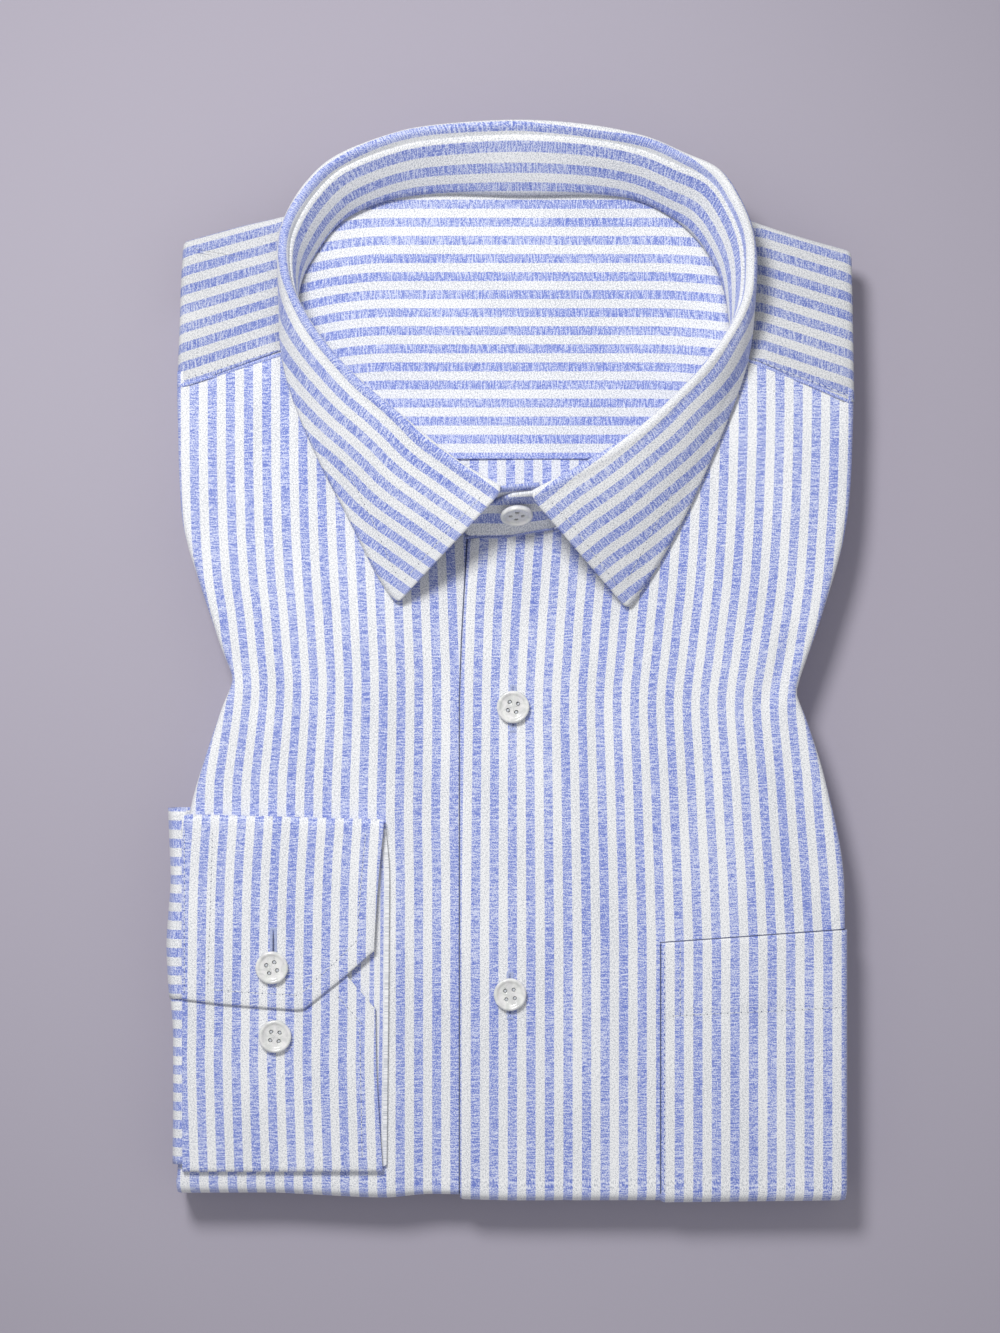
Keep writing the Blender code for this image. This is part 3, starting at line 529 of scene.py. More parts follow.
# The collar
# Sections from the wearer's right front, round the back of the neck, to the left front:
# seam x, y, z; fold x, y, z; outer edge x, y, z
collar = {
    "middle": (2.2, 104.0),
    "cloth": 1.0,  # interlined
    "sections": (
        (-9.0, 43.6, 22.9, -3.4, 56.9, 46.0, -38.3, 18.9, 23.5),
        (-22.0, 51.0, 23.0, -18.9, 66.3, 43.0, -45.0, 29.0, 23.5),
        (-40.0, 65.0, 22.6, -35.8, 80.2, 40.0, -54.5, 48.0, 23.6),
        (-55.0, 81.0, 22.0, -50.9, 93.2, 38.0, -64.5, 67.5, 23.7),
        (-65.0, 95.0, 21.3, -61.4, 104.3, 37.0, -72.6, 86.5, 23.7),
        (-71.5, 106.0, 20.6, -69.6, 116.2, 36.4, -77.0, 103.0, 23.4),
        (-72.6, 119.0, 20.0, -75.0, 128.0, 36.0, -77.9, 119.0, 22.8),
        (-70.8, 129.5, 19.2, -76.0, 139.8, 35.5, -78.2, 132.5, 22.2),
        (-66.0, 138.6, 18.3, -73.8, 148.6, 34.5, -76.2, 144.5, 21.4),
        (-59.5, 147.4, 17.4, -67.6, 159.0, 33.0, -69.6, 157.5, 14.0),
        (-52.0, 152.6, 16.8, -58.2, 168.0, 32.0, -58.0, 165.0, 8.0),
        (-40.0, 157.0, 16.4, -41.8, 175.0, 31.0, -42.0, 169.5, 5.0),
        (-24.0, 158.8, 16.3, -26.0, 178.6, 30.3, -25.5, 171.5, 3.6),
        (2.2, 158.3, 16.3, 2.2, 180.4, 30.0, 2.2, 172.5, 3.2),
        (27.0, 158.5, 16.3, 26.0, 178.8, 30.3, 25.5, 171.5, 3.6),
        (42.0, 157.0, 16.4, 44.6, 175.0, 31.0, 44.0, 169.5, 5.0),
        (53.0, 152.0, 16.8, 57.8, 169.3, 32.0, 59.5, 166.0, 8.0),
        (61.0, 145.8, 17.4, 69.2, 163.8, 33.0, 71.0, 159.0, 14.0),
        (67.6, 137.6, 18.3, 76.2, 153.3, 34.5, 79.0, 147.5, 21.4),
        (72.0, 128.5, 19.2, 80.2, 141.8, 35.5, 82.4, 134.5, 22.2),
        (74.3, 118.0, 20.0, 80.7, 127.8, 36.0, 82.4, 118.0, 22.8),
        (75.0, 104.6, 20.6, 77.3, 116.0, 36.4, 80.6, 103.5, 23.4),
        (70.0, 93.5, 21.3, 68.6, 102.2, 37.0, 77.0, 91.0, 23.7),
        (60.0, 78.0, 22.0, 56.4, 88.6, 38.0, 69.5, 72.0, 23.7),
        (46.0, 63.0, 22.6, 42.8, 76.3, 40.0, 59.6, 50.0, 23.6),
        (27.0, 50.0, 23.0, 25.1, 64.8, 43.0, 49.2, 31.0, 23.5),
        (13.0, 44.4, 23.3, 7.4, 55.2, 46.0, 39.8, 17.0, 23.5),
    ),
    # the band's buttoned ends beyond those sections: seam x, y, z; top x, y, z
    "underEnd": ((0.0, 44.8, 22.5, 1.6, 58.2, 43.4), (9.5, 46.6, 22.7, 10.0, 59.0, 42.0)),
    "overEnd": (
        (2.0, 42.6, 23.7, 1.0, 55.4, 42.6), (-7.5, 42.3, 24.0, -8.0, 52.4, 37.4),
        (-15.5, 42.2, 23.4, -15.0, 48.5, 32.0),
    ),
    # the leaf's roll over the band: shares of foldWidth outward, then how far up, along the band and down the leaf
    "roll": (
        (-0.55, 0, -3.4, 0), (-0.75, 0, -1.8, 0), (-0.85, 0, -0.5, 0), (-0.25, 0.7, 0, 0), (0.7, 0.7, 0, 0),
        (1.25, 0, 0, 1.4),
    ),
    "foldWidth": 1.35, "standoff": 2.0, "bulge": 1.5, "tipRadius": 2.6,
    # inner edge of the roll, from each front end round to the back
    "rollLeft": (
        (-3.4, 57.5), (-18.3, 67.9), (-27.7, 74.7), (-34.8, 81.8), (-41.9, 88.2), (-50, 94.6), (-57.8, 102.6),
        (-65.9, 112.9), (-70.6, 121.7), (-73.9, 130.5), (-74.7, 138.6), (-72.3, 148), (-65.9, 157.5),
        (-57.8, 164.8), (-41.9, 173.1), (-26, 176.8), (2.7, 178.5),
    ),
    "rollRight": (
        (7.4, 55.8), (17.9, 62.9), (31.1, 70.3), (46.6, 81.5), (55.4, 90), (64.9, 99.5), (71.7, 109.9),
        (76, 116.8), (78.8, 123.7), (79.4, 132.3), (79.4, 140.9), (77.4, 147.8), (73.3, 155.6), (67.5, 163.4),
        (58.8, 169.3), (46, 174.5), (24.3, 177.1), (2.7, 178.5),
    ),
    # where the first blue stripe of the leaf lies, by section
    "leafStripes": (
        (0, 3.1), (1.2, 2.7), (1.8, 2.7), (2.2, 3.0), (2.7, 2.6), (3.3, 1.8), (4.2, 1.8), (5, 1.5), (6, 0.9),
        (9, 0.9), (10, 0.8), (11.5, 0.0), (12.5, 0.2), (13, 0.0), (13.4, -0.5), (14.5, -1.65), (15.6, -2.1),
        (17.4, -2.7), (18.5, -3.1), (20, -3.2), (20.5, -2.7), (21.1, -2.1), (21.8, -1.5), (23.4, -1.3),
        (24.2, -0.4), (25, 1.3), (25.6, 3.1), (26, 3.5),
    ),
    "leafPitch": 6.1,
    "bandPitch": 7.6, "bandFirst": 3.5,  # round the back, from its top edge
    "overFirst": 8.3, "overPitch": 10.7, "underFirst": 0.4,  # on the buttoned ends, from the seam or the top edge
    "bandHollow": 0.9, "press": (5.0, 0.7, 0.25),  # top stitching: distance from the edge, half width, depth
}


def smoothRead(rows, at, width=3, start=0):
    last = len(rows) - 1
    i = min(max(int(at), 0), last - 1)
    share = at - i
    p0, p1, p2, p3 = (Vector(rows[min(max(k, 0), last)][start:start + width]) for k in range(i - 1, i + 3))
    bend = (p2 - p0) * share + (2 * p0 - 5 * p1 + 4 * p2 - p3) * share ** 2 + (3 * p1 - p0 - 3 * p2 + p3) * share ** 3
    return p1 + bend * 0.5


def outward(point):
    return Vector((point.x - collar["middle"][0], point.y - collar["middle"][1], 0)).normalized()


def neckEdge(section, margin=1.8, drop=1.0):
    seam = smoothRead(collar["sections"], section)
    return seam + outward(seam) * margin - Vector((0, 0, drop))


def foldSides(section):
    seam, fold, edge = (smoothRead(collar["sections"], section, 3, first) for first in (0, 3, 6))
    away = outward(fold)
    rise = (fold - away * collar["foldWidth"] - seam).normalized()
    fall = (edge - fold - away * collar["foldWidth"]).normalized()
    return seam, fold, edge, away, rise, fall


# The roll's inner edge as a fine smooth line, carried straight on past the front
def smoothLine(points):
    fine = [tuple(smoothRead(points, k / 5, 2)) for k in range(5 * (len(points) - 1) + 1)]
    dx, dy = direction(points[1], points[0])
    return [(points[0][0] + dx * 45, points[0][1] + dy * 45)] + fine


leftRoll = smoothLine(collar["rollLeft"])
rightRoll = smoothLine(collar["rollRight"])
lastSection = len(collar["sections"]) - 1
backSection = lastSection / 2  # the middle of the back


def rollDistance(x, y, section):
    best = 1e9
    line = leftRoll if section < backSection else rightRoll
    for (ax, ay), (bx, by) in zip(line, line[1:]):
        dx, dy = bx - ax, by - ay
        share = clamp(((x - ax) * dx + (y - ay) * dy) / (dx * dx + dy * dy))
        best = min(best, math.hypot(x - ax - dx * share, y - ay - dy * share))
    return best


def bandSections():
    pairs = [(Vector(row[:3]), Vector(row[3:])) for row in reversed(collar["underEnd"])]
    for at in spread(0.0, lastSection, 0.125):
        seam, fold, _, away, rise, _ = foldSides(at)
        pairs.append((seam, fold - away * collar["foldWidth"] * 1.3 - rise * collar["standoff"]))
    return pairs + [(Vector(row[:3]), Vector(row[3:])) for row in collar["overEnd"]]


def refined(pairs, steps):
    fine = []
    for (a, b), (c, d) in zip(pairs, pairs[1:]):
        fine += [(a.lerp(c, k / steps), b.lerp(d, k / steps)) for k in range(steps)]
    return fine + [pairs[-1]]


def makeBand():
    pairs = bandSections()
    pairs = refined(pairs[:3], 5)[:-1] + pairs[2:-4] + refined(pairs[-4:], 6)
    travel = runLengths([seam for seam, _ in pairs])
    last = len(pairs) - 1

    def place(share, row):
        seam, top = pairs[row]
        if row == last:  # the outer end has rounded corners
            share = mix(0.12, 0.86, share)
        elif row == last - 1:
            share = mix(0.04, 0.95, share)
        point = seam.lerp(top, share)
        point -= outward(point) * collar["bandHollow"] * math.sin(math.pi * share)
        length = (top - seam).length
        fromTop = (1 - share) * length
        back = toRepeat(fromTop - collar["bandFirst"], collar["bandPitch"])
        over = toRepeat(share * length - collar["overFirst"], collar["overPitch"])
        under = toRepeat(fromTop - collar["underFirst"], collar["overPitch"])
        return point, (mix(mix(back, over, clamp(row - last + 21)), under, clamp(14 - row)), travel[row])

    rows = range(len(pairs))
    return makeSheet("collar_band", spread(0.0, 1.0, 0.1), rows, place, collar["cloth"], "collar_stand", offset=0.0)


def leafProfile(section, share):
    _, fold, edge, away, rise, fall = foldSides(section)
    up = Vector((0, 0, 1))
    roll = [fold + away * collar["foldWidth"] * a + up * b + rise * c + fall * d for a, b, c, d in collar["roll"]]
    if share <= 0.0:
        return smoothRead([tuple(p) for p in roll], 5 * (share + 1))
    crown = math.sin(math.pi * min(share, 1.0) ** 0.8)
    beside, half, depth = collar["press"]
    press = depth * math.exp(-(((1 - share) * (edge - roll[-1]).length - beside) / half) ** 2)
    return roll[-1].lerp(edge, share) + up * (collar["bulge"] * crown - press)


def makeLeaf():
    tips = {}
    for end, inside in ((0.0, 0.35), (lastSection, lastSection - 0.35)):
        fold, edge = (smoothRead(collar["sections"], end, 3, start) for start in (3, 6))
        beside = smoothRead(collar["sections"], inside, 3, 6)
        tips[end] = ((edge.x, edge.y), direction(edge, fold), direction(edge, beside))
    shares = [-1 + k / 8 for k in range(9)] + [k / 26 for k in range(1, 27)]

    def place(share, section):
        point = leafProfile(section, share)
        end = 0.0 if section < backSection else lastSection
        if abs(section - end) < 2 and share > 0.5:
            point = Vector(roundCorner(tuple(point), *tips[end], collar["tipRadius"]))
        start = leafProfile(section, 0.0)
        travel = (point - start).length if share > 0 else 7.6 * share
        distance = rollDistance(start.x, start.y, section) + travel
        if share > 0:  # round the back the leaf hangs down, so there its own length counts
            behind = ease((section - 5.5) / 2) * ease((20.5 - section) / 2)
            distance = mix(rollDistance(point.x, point.y, section), distance, behind)
        across = toRepeat(distance - readTable(collar["leafStripes"], section, 0.5), collar["leafPitch"])
        return point, (across, section * 19.0)

    sections = spread(0.0, lastSection, 0.1)
    return makeSheet("collar_leaf", shares, sections, place, collar["cloth"], "collar_fall", offset=0.0)


# The yoke
yoke = {
    # collar section, edge x, y, z of the top face, share of a full side fold
    "sections": (
        (5.06, -113.0, 93.3, 22.0, 1.0), (6.0, -112.3, 112.0, 21.7, 1.0), (6.8, -111.8, 128.0, 21.0, 1.0),
        (7.4, -111.0, 142.0, 20.2, 1.0), (8.0, -101.0, 144.8, 19.6, 1.0), (8.6, -91.0, 147.6, 19.0, 1.0),
        (9.2, -80.0, 150.1, 18.3, 1.0), (10.0, -68.0, 153.0, 17.4, 0.8), (11.0, -47.0, 161.5, 16.0, 0.55),
        (12.0, -26.0, 164.6, 15.3, 0.5), (13.0, 2.2, 165.0, 15.1, 0.5), (14.0, 30.0, 164.6, 15.3, 0.5),
        (15.0, 51.0, 161.5, 16.0, 0.55), (16.0, 72.0, 153.5, 17.4, 0.8), (16.8, 84.0, 148.6, 18.3, 1.0),
        (17.4, 93.0, 145.5, 19.0, 1.0), (18.0, 104.0, 142.2, 19.6, 1.0), (18.6, 116.0, 138.9, 20.2, 1.0),
        (19.2, 116.3, 126.0, 21.0, 1.0), (20.0, 116.6, 108.0, 21.7, 1.0), (20.94, 116.9, 87.6, 22.0, 1.0),
    ),
    "turn": 4.2, "innerMargin": 0.6,
    # first blue stripe and pitch, by x
    "firstStripe": (
        (-140.0, 130.2958), (-108.2, 138.85), (-79.4, 146.8), (85.2, 145.2), (113.6, 136.35), (140.0, 128.166),
    ),
    "pitch": ((-108.2, 6.45), (-79.4, 6.22), (85.2, 6.36), (113.6, 6.456)),
    "arch": (80.0, 146.7, 0.29),  # behind the collar: half width, first blue stripe at its sides, slope there
}


def yokeAt(section):
    rows = yoke["sections"]
    span = min(0.08, section - rows[0][0], rows[-1][0] - section)
    return [readTable([(row[0], row[k]) for row in rows], section, span) for k in range(1, 5)]


def yokeAcross(x, y):
    first = readLine(yoke["firstStripe"], x)
    half, sides, slope = yoke["arch"]
    inside = half - abs(x)
    if inside > 0:
        first = sides + slope * inside - slope * inside ** 2 / (2 * half)
    return toRepeat(first - y, readLine(yoke["pitch"], x))


def makeYoke():
    columns = [("face", share) for share in [0.0, 0.06, 0.12] + spread(0.2, 1.0, 1 / 14)]
    columns += [("turn", k) for k in range(1, 13)] + [("tuck", 1.0)]
    first, last = yoke["sections"][0][0], yoke["sections"][-1][0]

    def place(column, section):
        x, y, top, share = yokeAt(section)
        a, b = yokeAt(max(section - 0.1, first)), yokeAt(min(section + 0.1, last))
        along = Vector((b[0] - a[0], b[1] - a[1], 0)).normalized()
        inward = Vector((along.y, -along.x, 0))
        edge, inner = Vector((x, y, top)), neckEdge(section, yoke["innerMargin"])
        width = min(yoke["turn"], 0.6 * (edge - inner).length)
        start = edge + inward * width
        kind, value = column
        if kind == "face":
            point = inner.lerp(start, value)
            nearSeam = min(section - first, last - section)
            point.z = mix(point.z, mix(inner.z, start.z, ease(value / 0.3)), ease(1 - nearSeam / 1.3)) + 0.15
            point.z += 0.35 * ease(1 - nearSeam / 0.15) - 0.25 * ease(1 - nearSeam / 0.015)
            if point.y < 130:
                point.z -= pressed(shirt["creases"], point.x, point.y)
            return point, (yokeAcross(point.x, point.y), point.x)
        half = max(top - (shirt["top"] - shirt["sideDepth"]), 4.6) / 2
        out, up = squared(90 - 180 * share * (value / 12 if kind == "turn" else 1.0))
        inset, depth = width * (1 - out), half * (1 - up)
        travel = width - inset + depth
        if kind == "tuck":
            inset += shirt["sideTuck"] * (2 * share - 1)
            depth += 0.8 * (1 - share)
            travel += shirt["sideTuck"]
        flat = start - inward * travel
        return edge + inward * inset - Vector((0, 0, depth)), (yokeAcross(flat.x, flat.y), flat.x)

    ends = (0.0, 0.02, 0.05)
    rows = [first + step for step in ends] + spread(first + 0.1, last - 0.1, 0.085)
    rows += [last - step for step in reversed(ends)]
    # the yoke wears the copy of the cloth with painted shade
    return makeSheet("yoke_cloth", columns, rows, place, shirt["cloth"] + 0.1, "yoke", material=yokeShadedShirting)


# Inside of the neck: the inner yoke and the back panel below its seam
neckInside = {"floor": 14.6, "innerFirst": 155.15, "innerPitch": 6.15, "backFirst": 0.2, "backPitch": 6.18}


def makeInnerYoke():
    low = ((68.4, -71.5, 74.0, 14.8), (84.0, -72.5, 75.5, 15.2), (97.0, -73.0, 76.0, 17.0))
    ends = [(Vector((left, y, z)), Vector((right, y, z))) for y, left, right, z in low]
    for section in spread(5.0, 12.0, 0.5):
        pair = []
        for at in (section, lastSection - section):
            seam = smoothRead(collar["sections"], at)
            pair.append(seam + outward(seam) * 0.6 - Vector((0, 0, 1.4 * max(1.0, 7.0 - section))))
        ends.append(tuple(pair))
    rows = [0.0, 0.02, 0.05, 0.1] + spread(0.2, len(ends) - 1, 0.25)

    def place(share, row):
        left, right = (smoothRead([tuple(pair[k]) for pair in ends], row) for k in (0, 1))
        point = left.lerp(right, share)
        sag = 1 - abs(2 * share - 1) ** 4
        point.z = mix(point.z, neckInside["floor"] + 0.5 * ease(1 - row / 0.5), sag) - 0.45 * ease(1 - row / 0.06)
        point.z += 0.22 * math.sin(point.x / 11 + point.y / 17)
        curve = 2.7 * (max(0, -point.x - 40) / 24.2) ** 2 + 1.0 * (max(0, point.x - 45) / 20) ** 2
        across = toRepeat(neckInside["innerFirst"] - curve - point.y, neckInside["innerPitch"])
        return point, (across, point.x)

    return makeSheet("inner_yoke_cloth", spread(0.0, 1.0, 1 / 44), rows, place, shirt["cloth"], "yoke_lining")


def makeBackPanel():
    def place(x, y):
        z = neckInside["floor"] - 0.4 + 0.12 * math.sin(x / 9)
        return (x, y, z), (toRepeat(x - neckInside["backFirst"], neckInside["backPitch"]), y)

    return makeSheet("back_cloth", spread(-70, 72.5, 3), spread(32, 70, 3), place, shirt["cloth"], "back")


# The chest pocket
pocket = {
    "left": 51.3, "top": ((51.3, -95.8), (114.2, -91.3)), "hem": 25.0,  # the hem is turned down twice
    "stand": 0.76, "sideAngle": -18.0, "lowTurn": -0.45,
    "stripesAt": -150.0,  # its stripes run straight, as the front's do here
}


def makePocket():
    grow, faceStart = pocket["stand"], shirt["faceStart"]
    turn, arcs = sideTurn(pocket["sideAngle"], grow)
    columns = [("face", share) for share in [0.0, 0.008, 0.018, 0.03] + spread(0.06, 1.0, 1 / 30)]
    columns += [("turn", k) for k in range(1, 13)]
    rows = [("turn", mix(pocket["lowTurn"], 1.0, k / 16)) for k in range(17)]
    rows += [("face", share) for share in spread(0.02, 0.96, 0.02) + [0.972, 0.983, 0.992, 1.0]]
    edge = sideEdge(1, shirt["footEdge"])
    foldStart = edge - shirt["sideTurn"]

    def place(column, row):
        sideKind, share = column
        kind, value = row
        turned = value if kind == "turn" else None
        flatX = mix(pocket["left"], foldStart, share) if sideKind == "face" else foldStart + arcs[share]
        (x0, y0), (x1, y1) = pocket["top"]
        topY = mix(y0, y1, (min(flatX, foldStart) - x0) / (x1 - x0))
        y = mix(faceStart, topY, value) if turned is None else 0.0
        if sideKind == "face":
            fromTop = topY - y if turned is None else 99
            lap = 0.45 * (1 - ease((flatX - pocket["left"]) / 1.2)) - grow
            lap += 0.35 * (1 - ease(fromTop)) - 0.32 * ease(pocket["hem"] - fromTop)
            if turned is None:
                lap += pressed(shirt["creases"], flatX, y)
            point = bodyPoint(flatX, y, turned, 0.0, share, lap)
        else:
            inset, down = turn[share]
            point = bodyPoint(edge - inset, y, turned, max(down + grow, 0.0), 1, -grow)
        along = y if turned is None else faceStart - 11 * (1 - value)
        return point, (frontAcross(1, flatX, pocket["stripesAt"]), along)

    return makeSheet("pocket_cloth", columns, rows, place, shirt["cloth"], "pocket")


# The cuff, wound as a flat spiral, and its sleeve
cuff = {
    "left": -110.8, "right": -45.6,
    # x of a column, y of the outer end's edge, y of the inner end's edge
    "ends": (
        (-110.8, -114.5, -90.0), (-98.8, -116.1, -90.0), (-84.1, -117.3, -90.0), (-69.8, -118.3, -90.0),
        (-57.0, -108.1, -104.0), (-55.8, -107.1, -106.0), (-45.6, -98.0, -118.0),
    ),
    # right-hand edges, by y
    "outerRight": ((-110, -46.2), (-96, -46.0), (-77, -44.8), (-62, -43.4), (-54, -42.4)),
    "innerRight": ((-173, -43.0), (-160, -44.0), (-140, -45.2), (-118, -45.6)),
    "lowRight": ((-173, -41.8), (-120, -41.2), (-70, -40.8), (-54, -42.4)),
    "low": 22.9, "inner": 24.7, "outer": 26.2,  # heights of the middles of its three layers
    "topY": -52.6, "bottomY": -172.6, "cloth": 1.1, "lowShift": 1.75,
    "pitch": 6.0,
    # x of the first blue stripe, by y
    "firstStripe": (
        (-173, -103.6), (-170.7, -103.7), (-162, -104.0), (-148.7, -104.4), (-135, -104.7), (-125, -104.5),
        (-101, -104.3), (-81, -104.0), (-67.6, -103.5), (-60.8, -103.0), (-55.8, -102.6),
    ),
}
cuff["radius"] = (cuff["outer"] - cuff["low"]) / 2
cuff["lowRadius"] = (cuff["inner"] - cuff["low"]) / 2


def makeCuff():
    outer, low, inner = cuff["outer"], cuff["low"], cuff["inner"]
    left, right, radius, lowRadius = cuff["left"], cuff["right"], cuff["radius"], cuff["lowRadius"]
    rows = [("outer", share) for share in [0.0, 0.012, 0.03] + spread(0.06, 1.0, 0.04)]
    rows += [("top", angle) for angle in range(75, -76, -15)]
    rows += [("low", share) for share in spread(0.0, 1.0, 0.03)]
    rows += [("bottom", angle) for angle in range(-70, 71, 20)]
    rows += [("inner", share) for share in spread(0.0, 0.94, 0.04) + [0.97, 0.988, 1.0]]
    xs = [left, -110.5, -110.0] + spread(-109.2, -74.4, 2.0) + spread(-73.4, -46.8, 2.0) + [-46.2, -45.8, right]

    # y and z of a turn about a line, at an angle in degrees
    def wind(y, z, size, degrees):
        angle = math.radians(degrees)
        return y + 2 * size * math.cos(angle) ** 0.8, (z + low) / 2 + abs(size) * power(math.sin(angle), 0.8)

    def place(x, row):
        kind, value = row
        outerY, innerY = (readTable([(line[0], line[k]) for line in cuff["ends"]], x, 0.8) for k in (1, 2))
        across = (x - left) / (right - left)
        high, lowY = cuff["topY"] - 1.8 * across - 2 * radius, cuff["bottomY"] + 2 * lowRadius
        edgeDrop = 0.4 * (1 - ease((x - left) / 1.2)) + 0.3 * (1 - ease(right - x))
        if kind == "outer":
            y, z = mix(outerY, high, value), outer - 0.35 * (1 - ease(value / 0.02)) - edgeDrop
            z += 0.25 * math.sin(math.pi * across) * math.sin(math.pi * value)
        elif kind == "top":
            y, z = wind(high, outer, radius, value)
        elif kind == "low":
            y, z = mix(high, lowY, value), low
        elif kind == "bottom":
            y, z = wind(lowY, inner, -lowRadius, value)
        else:
            y, z = mix(lowY, innerY, value), inner - edgeDrop * 0.6
        edgeName = {"outer": "outerRight", "top": "outerRight", "low": "lowRight"}.get(kind, "innerRight")
        spotX = mix(left, readTable(cuff[edgeName], y, 5.0), across)
        flatX = toRepeat(spotX - readTable(cuff["firstStripe"], clamp(y, -172, -54), 4.0), cuff["pitch"])
        if kind == "low":  # its stripes don't meet the other layers', and its side seam shows plain white
            plain = (math.floor(flatX / repeat) + 0.5) * repeat
            flatX = mix(flatX + cuff["lowShift"], plain, ease((spotX + 45.8) / 1.2))
        return (spotX, y, z), (flatX, y)

    return makeSheet("cuff_cloth", xs, rows, place, cuff["cloth"], "cuff", offset=0.0)


sleeve = {
    # x inside the outline, height: from between the layers, round the edge, onto the cuff
    "turn": (
        (17.0, 11.2), (13.0, 11.2), (9.0, 11.2), (4.4, 11.4), (1.7, 12.9), (0.3, 16.0), (0.0, 19.0), (0.4, 22.2),
        (1.3, 23.7), (2.6, 24.1), (4.6, 24.2),
    ),
    "outline": (
        (-170.6, -113.9), (-150, -113.7), (-125, -113.7), (-110, -115.0), (-96, -115.7), (-75, -114.0),
        (-60, -114.6), (-50.2, -115.0),
    ),
    "cloth": 1.3,  # both layers of the flattened sleeve
    "reach": -109.6,  # x of its edge on the cuff
    "pieces": {
        # lowest y, highest y, first blue stripe, pitch, how far it stands out
        "sleeve_cloth": (-170.6, -113.6, -120.1, 6.17, 0.0),
        "sleeve_end_cloth": (-114.5, -50.2, -55.8, 6.16, 0.8),
    },
}


def makeSleeve(name, *nodes):
    low, high, first, pitch, proud = sleeve["pieces"][name]
    last = len(sleeve["turn"]) - 1

    def place(step, y):
        at = smoothRead(sleeve["turn"], step, 2)
        x = readTable(sleeve["outline"], y, 4.0) + at.x - proud * ease((8 - step) / 4 if step > 4 else 1.0)
        x = mix(x, sleeve["reach"], ease((step - last + 2) / 2))
        z = at.y + (proud - 0.2) * 1.4 * ease((step - 5) / 4)
        z += 0.15 * math.sin(y / 13) * clamp((step - 3) / 4) * clamp(last - step)
        return (x, y, z), (toRepeat(first - y, pitch), step * 3.2)

    return makeSheet(name, spread(0.0, last, 0.34), spread(low, high, 2.0), place, sleeve["cloth"], *nodes, offset=0.0)


# What is folded away inside: rounded slabs, one for each folded part
insideLayers = {
    # lowest and highest z, inset from the side folds, lowest y, highest y, extra inset on the left below the waist
    "slabs": (
        (4.2, 9.2, 17.6, -166.0, 134.0, 0.0), (9.4, 10.3, 2.6, -167.0, 135.0, 20.0),
        (10.45, 11.35, 2.3, -168.0, 135.2, 21.0), (11.5, 12.6, 2.7, -167.0, 134.6, 21.0),
        (12.65, 18.8, 17.6, -167.0, 25.0, 0.0),
    ),
}

def softenEdges(bm, edges, width, segments):
    how = {"offset_type": "OFFSET", "profile": 0.5, "affect": "EDGES", "material": -1}
    bmesh.ops.bevel(bm, geom=edges, offset=width * mm, segments=segments, **how)
def makeInside():
    bm = bmesh.new()
    weave = bm.loops.layers.uv.new("weave")
    lengths = len(spread(-168, 135.2, 4.0)) - 1
    for low, high, inset, start, end, more in insideLayers["slabs"]:
        made = bmesh.ops.create_grid(bm, x_segments=12, y_segments=lengths, size=0.5)
        faces = list({face for vert in made["verts"] for face in vert.link_faces})
        for vert in made["verts"]:
            y = mix(start, end, vert.co.y + 0.5)
            left, right = sideEdge(-1, y) + inset + (more if y < -44 else 0.0), sideEdge(1, y) - inset
            vert.co = Vector((mix(left, right, vert.co.x + 0.5), y, low)) * mm
        made = bmesh.ops.extrude_face_region(bm, geom=faces)
        top = [item for item in made["geom"] if isinstance(item, bmesh.types.BMVert)]
        bmesh.ops.translate(bm, verts=top, vec=(0, 0, (high - low) * mm))
        rim = [
            edge for edge in bm.edges if edge.calc_length() > 0 and len(edge.link_faces) == 2
            and all(low * mm - 1e-6 <= vert.co.z <= high * mm + 1e-6 for vert in edge.verts)
            and edge.calc_face_angle(0) > 1.2
        ]
        softenEdges(bm, rim, min((high - low) * 0.42, 1.2), 3)
    bmesh.ops.recalc_face_normals(bm, faces=bm.faces)
    for face in bm.faces:
        for loop in face.loops:
            loop[weave].uv = (loop.vert.co.x + loop.vert.co.z * 0.2, loop.vert.co.y)
    return standFor(addPiece("inside_layers", bm, shirting), "striped_cotton", "folded_layers")


# Buttons, in size and height above the cloth
buttons = {
    "width": 11.1, "holeSpread": 2.1 / 11.4, "holeWidth": 1.3, "holeEdge": 0.12,
    # share of the radius, height: from the middle of the dish over the rim to the back
    "profile": (
        (0.0, 1.55), (0.45, 1.5), (0.66, 1.52), (0.74, 1.72), (0.8, 2.05), (0.87, 2.2), (0.94, 2.12), (0.985, 1.8),
        (1.0, 1.35), (0.985, 0.9), (0.94, 0.45), (0.84, 0.12), (0.7, 0.0), (0.0, 0.0),
    ),
    # thread in each hole: height and size of its strands
    "strands": ((0.8, 0.66), (1.2, 0.6)),
    # name: x, y, height of the cloth under it, how far it is turned in degrees
    "flat": {
        "front_button_1": (1.0, -15.9, 22.3, -13.0), "front_button_2": (0.0, -113.2, 22.3, 8.0),
        "cuff_button_1": (-80.4, -103.8, 27.1, 20.0), "cuff_button_2": (-79.4, -127.1, 25.6, -6.0),
    },
    # the collar button leans with the band, on which it sits this share of the way up
    "collar": {"x": 2.1, "share": 0.6, "turned": 40.0, "tilt": 3.0, "lean": 5.0},
}


